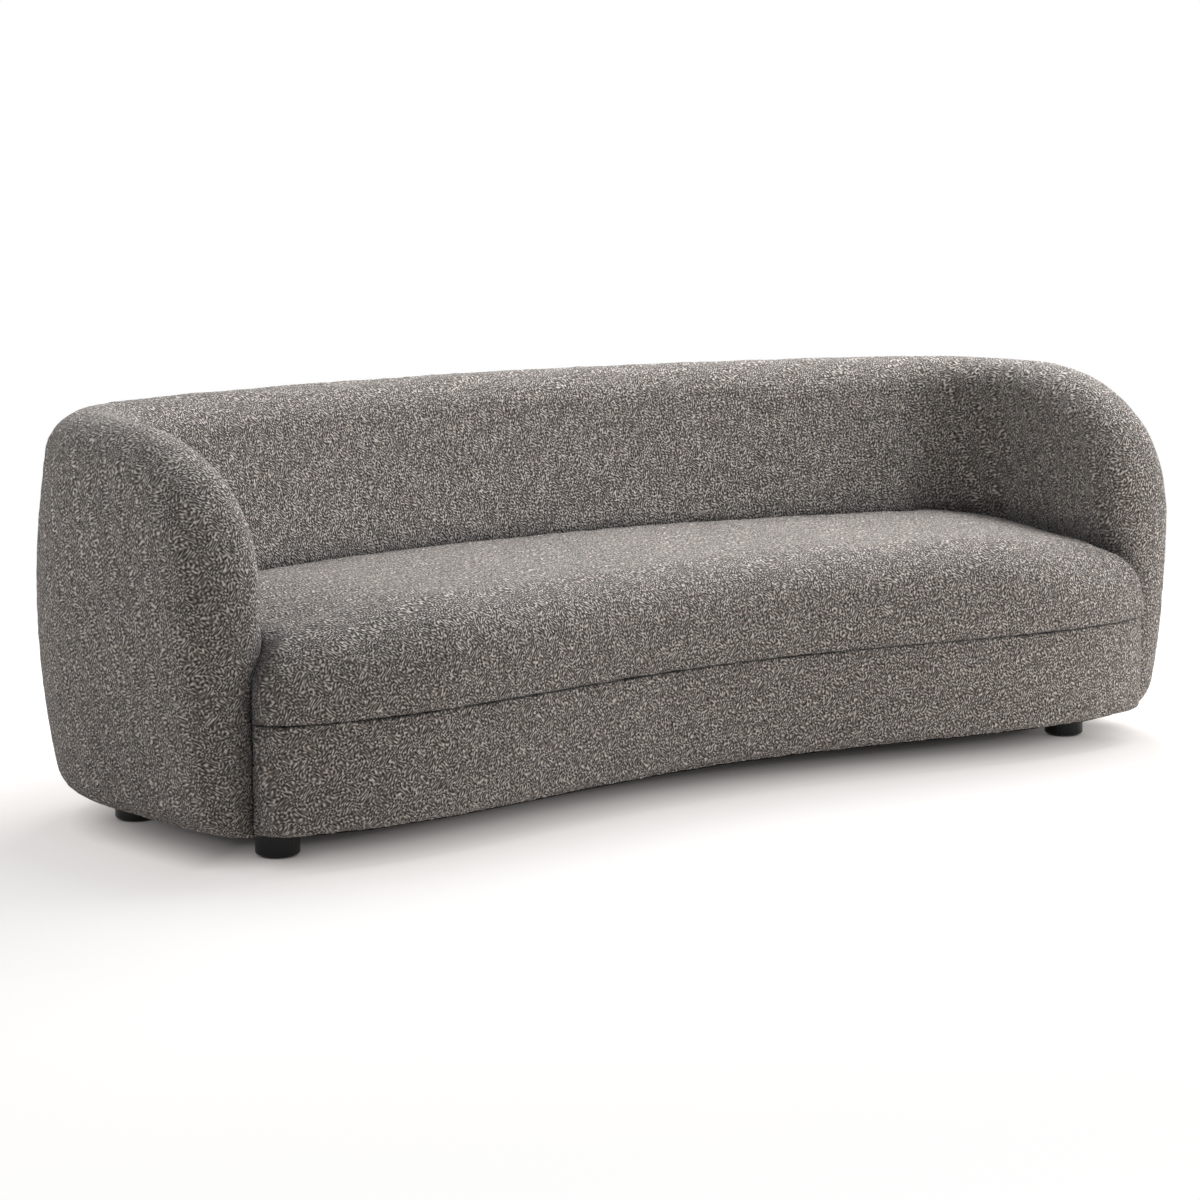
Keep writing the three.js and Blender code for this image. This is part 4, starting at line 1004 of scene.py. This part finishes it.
FLOOR_RADIUS = 9.0
# Half the size in metres of the floor's fine middle, and its points along X and Y.
FLOOR_FINE = ((1.8, 181), (1.2, 121))
FLOOR_ALBEDO = 0.86
FLOOR_LIT_SHARE = 0.45
FLOOR_WARMTH = (1.0, 0.955, 0.925)
# The painted shadow's shades between which the floor's glow turns from warm to white.
WARM_SHADE, WHITE_SHADE = 0.50, 0.655
# Painted contact shadow: the floor's glow darkens where the sofa lies within this reach, by this power.
CONTACT_REACH = 0.05
CONTACT_POWER = 0.4
# The painted shadow's ramp spans this far out of and into the sofa's plan, in metres.
SHADE_REACH = 0.45
# Painted shadow in the floor's glow by distance in metres out of the sofa's plan; under the sofa it is
# negative.
FLOOR_SHADES = [
    (-0.27, 0.006), (-0.215, 0.04), (-0.154, 0.165), (-0.092, 0.36), (-0.031, 0.545),
    (0.031, 0.578), (0.092, 0.592), (0.154, 0.622), (0.215, 0.645), (0.32, 0.66),
]
# The floor fades to plain white between these distances, measured with X drawn in.
FADE_SQUEEZE = (0.72, 1.0, 0.0)
FADE_START = 1.45
FADE_END = 2.6
# The floor's shade starts this many millimetres inside the wall's belly.
PLAN_INSET = 9.0
BLACK, WHITE = (0.0, 0.0, 0.0), (1.0, 1.0, 1.0)
WORLD_LIGHT = 0.02


def seen_rays(tree):
    """1 for rays that show the stage to the camera, straight or through a reflection or glass."""
    path = add_node(tree, "ShaderNodeLightPath")
    seen = math_node(tree, "MAXIMUM", path.outputs["Is Camera Ray"], path.outputs["Is Glossy Ray"])
    return math_node(tree, "MAXIMUM", seen, path.outputs["Is Transmission Ray"])


def plan_outline():
    """The sofa's outline in plan just over the floor, in millimetres."""
    x = front_path(20.0)
    front = np.stack([x, front_y(x)], axis=-1)
    station = np.linspace(NOSE_START, -NOSE_START, 200)
    wall = offset_points(station, np.full_like(station, BELLY_OFFSET - PLAN_INSET), 0.0)
    return np.concatenate([front, wall[:, :2]])


def build_floor():
    """The floor's mesh, with the distance out of the sofa's plan at each point."""
    steps = [np.concatenate([[-FLOOR_RADIUS], np.linspace(-half, half, count), [FLOOR_RADIUS]])
             for half, count in FLOOR_FINE]
    points = np.stack(np.meshgrid(*steps), axis=-1)
    points = np.concatenate([points, np.zeros_like(points[..., :1])], axis=-1) * 1000
    floor = grid_mesh("floor", points, merge=False)
    plan = plan_outline()
    flat = points.reshape(-1, 3)[:, :2]
    away = path_distance(closed(plan), flat) * np.where(inside_loop(flat, plan), -1, 1) / 1000
    attribute = floor.data.attributes.new("away", "FLOAT", "POINT")
    attribute.data.foreach_set("value", away.astype(np.float32))
    return floor


def lit_floor(tree, seen):
    """A floor that takes the lamps' light and shadows, over a glow with a painted shadow that darkens it
    towards and under the sofa.
    """
    tone = math_node(tree, "MULTIPLY_ADD", seen, FLOOR_LIT_SHARE - FLOOR_ALBEDO, FLOOR_ALBEDO)
    diffuse = add_node(tree, "ShaderNodeBsdfDiffuse")
    tree.links.new(ramp_node(tree, tone, [(0.0, BLACK), (1.0, FLOOR_WARMTH)]), diffuse.inputs["Color"])
    away = add_node(tree, "ShaderNodeAttribute", attribute_name="away").outputs["Fac"]
    reach = math_node(tree, "MULTIPLY_ADD", away, 1 / (2 * SHADE_REACH), 0.5, clamp=True)
    stops = [(0.5 + place / (2 * SHADE_REACH), (level,) * 3) for place, level in FLOOR_SHADES]
    # Painted contact shadow: the glow darkens where the sofa lies close above.
    painted_contact_shadow = math_node(tree, "POWER", occlusion(tree, CONTACT_REACH, samples=6), CONTACT_POWER)
    shade = math_node(tree, "MULTIPLY", ramp_node(tree, reach, stops), painted_contact_shadow)
    colour = ramp_node(tree, shade, [(WARM_SHADE, FLOOR_WARMTH), (WHITE_SHADE, WHITE)])
    glow = add_node(tree, "ShaderNodeEmission")
    tree.links.new(math_node(tree, "MULTIPLY", seen, shade), glow.inputs["Strength"])
    tree.links.new(colour, glow.inputs["Color"])
    both = add_node(tree, "ShaderNodeAddShader")
    plug(tree, both.inputs, (diffuse.outputs[0], glow.outputs[0]))
    return both.outputs[0]


def build_stage():
    """A white floor that keeps the sofa's shadow, partly cast by the lamps and partly painted into its glow,
    fades to the white backdrop and is clear from below.
    """
    floor = build_floor()
    material = bpy.data.materials.new("white_floor")
    material.use_nodes = True
    tree = material.node_tree
    tree.nodes.clear()
    seen = seen_rays(tree)
    place = add_node(tree, "ShaderNodeTexCoord").outputs["Object"]
    distance = vector_math(tree, "LENGTH", vector_math(tree, "MULTIPLY", place, FADE_SQUEEZE))
    fade = add_node(tree, "ShaderNodeMapRange", interpolation_type="SMOOTHSTEP")
    fade.inputs["From Min"].default_value = FADE_START
    fade.inputs["From Max"].default_value = FADE_END
    tree.links.new(distance, fade.inputs["Value"])
    faded = math_node(tree, "MULTIPLY", seen, fade.outputs["Result"])
    white = add_node(tree, "ShaderNodeEmission").outputs[0]
    mix = add_node(tree, "ShaderNodeMixShader")
    plug(tree, mix.inputs, (faded, lit_floor(tree, seen), white))
    back = add_node(tree, "ShaderNodeNewGeometry").outputs["Backfacing"]
    clear = add_node(tree, "ShaderNodeBsdfTransparent").outputs[0]
    below = add_node(tree, "ShaderNodeMixShader")
    plug(tree, below.inputs, (back, mix.outputs[0], clear))
    output = add_node(tree, "ShaderNodeOutputMaterial")
    tree.links.new(below.outputs[0], output.inputs["Surface"])
    floor.data.materials.append(material)


def build_world():
    """A backdrop that shows white and gives next to no light: the lamps and the floor light the sofa."""
    world = bpy.data.worlds.new("studio")
    bpy.context.scene.world = world
    world.use_nodes = True
    tree = world.node_tree
    background = tree.nodes["Background"]
    background.inputs["Color"].default_value = (1, 1, 1, 1)
    strength = math_node(tree, "MULTIPLY_ADD", seen_rays(tree), 1 - WORLD_LIGHT, WORLD_LIGHT)
    tree.links.new(strength, background.inputs["Strength"])


LAMP_DISTANCE = 4.0
LAMP_AIM = (0.0, 0.0, 0.35)
# Studio lamps: compass angle from the front towards +X, height angle, width, height and power.
LAMPS = [
    ("key_back_right", 135, 40, 2.4, 2.4, 165.0),
    ("key_right_high", 90, 65, 2.4, 2.4, 54.0),
    ("fill_right", 90, 40, 2.4, 2.4, 76.0),
    ("fill_front_right", 45, 12, 2.4, 1.2, 37.0),
    ("fill_front_high", 30, 55, 2.4, 2.4, 9.0),
    ("fill_left", 270, 40, 2.4, 2.4, 40.0),
    ("rim_left", 270, 12, 2.4, 1.2, 4.0),
]


def build_lights():
    for name, turn, lift, width, height, power in LAMPS:
        light = bpy.data.lights.new(name, "AREA")
        light.shape = "RECTANGLE"
        light.size, light.size_y = width, height
        light.energy = power
        lamp = bpy.data.objects.new(name, light)
        bpy.context.scene.collection.objects.link(lamp)
        turn, lift = math.radians(turn), math.radians(lift)
        away = Vector((math.sin(turn) * math.cos(lift), -math.cos(turn) * math.cos(lift), math.sin(lift)))
        lamp.location = Vector(LAMP_AIM) + away * LAMP_DISTANCE
        lamp.rotation_euler = (-away).to_track_quat("-Z", "Y").to_euler()
        lamp.visible_camera = False


CAMERA_LENS = 96.07
CAMERA_SENSOR = 36.0
CAMERA_PLACE = (-3.4655, -4.80965, 1.2185)
CAMERA_DIP = 8.729
CAMERA_TURN = -35.636


def build_camera():
    camera = bpy.data.cameras.new("photo_view")
    camera.lens = CAMERA_LENS
    camera.sensor_width = camera.sensor_height = CAMERA_SENSOR
    view = bpy.data.objects.new("photo_view", camera)
    bpy.context.scene.collection.objects.link(view)
    view.location = CAMERA_PLACE
    view.rotation_euler = (math.radians(90 - CAMERA_DIP), 0, math.radians(CAMERA_TURN))
    bpy.context.scene.camera = view


def main():
    build_camera()
    materials = dress_nodes()
    shell = build_shell()
    rail = build_rail()
    cushion = build_cushion()
    for piece in (shell, rail, cushion):
        piece.data.materials.append(materials["boucle"])
    deck = build_deck()
    cover, loops = build_dust_cover()
    staples = build_staples(loops)
    for piece, slot in ((deck, "felt"), (cover, "dust_cloth"), (staples, "zinc_steel")):
        piece.data.materials.append(materials[slot])
        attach(piece, "sofa_frame")
    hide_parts("deck_pad")
    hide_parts("dust_cloth")
    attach(shell, "sofa_frame")
    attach(rail, "sofa_frame")
    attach(cushion, "seat_cushion")
    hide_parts("shell_cover", "shell_foam")
    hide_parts("front_cover", "front_foam")
    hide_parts("cushion_cover", "cushion_foam")
    build_stage()
    build_world()
    build_lights()
    bpy.context.scene.view_settings.view_transform = "Standard"


main()
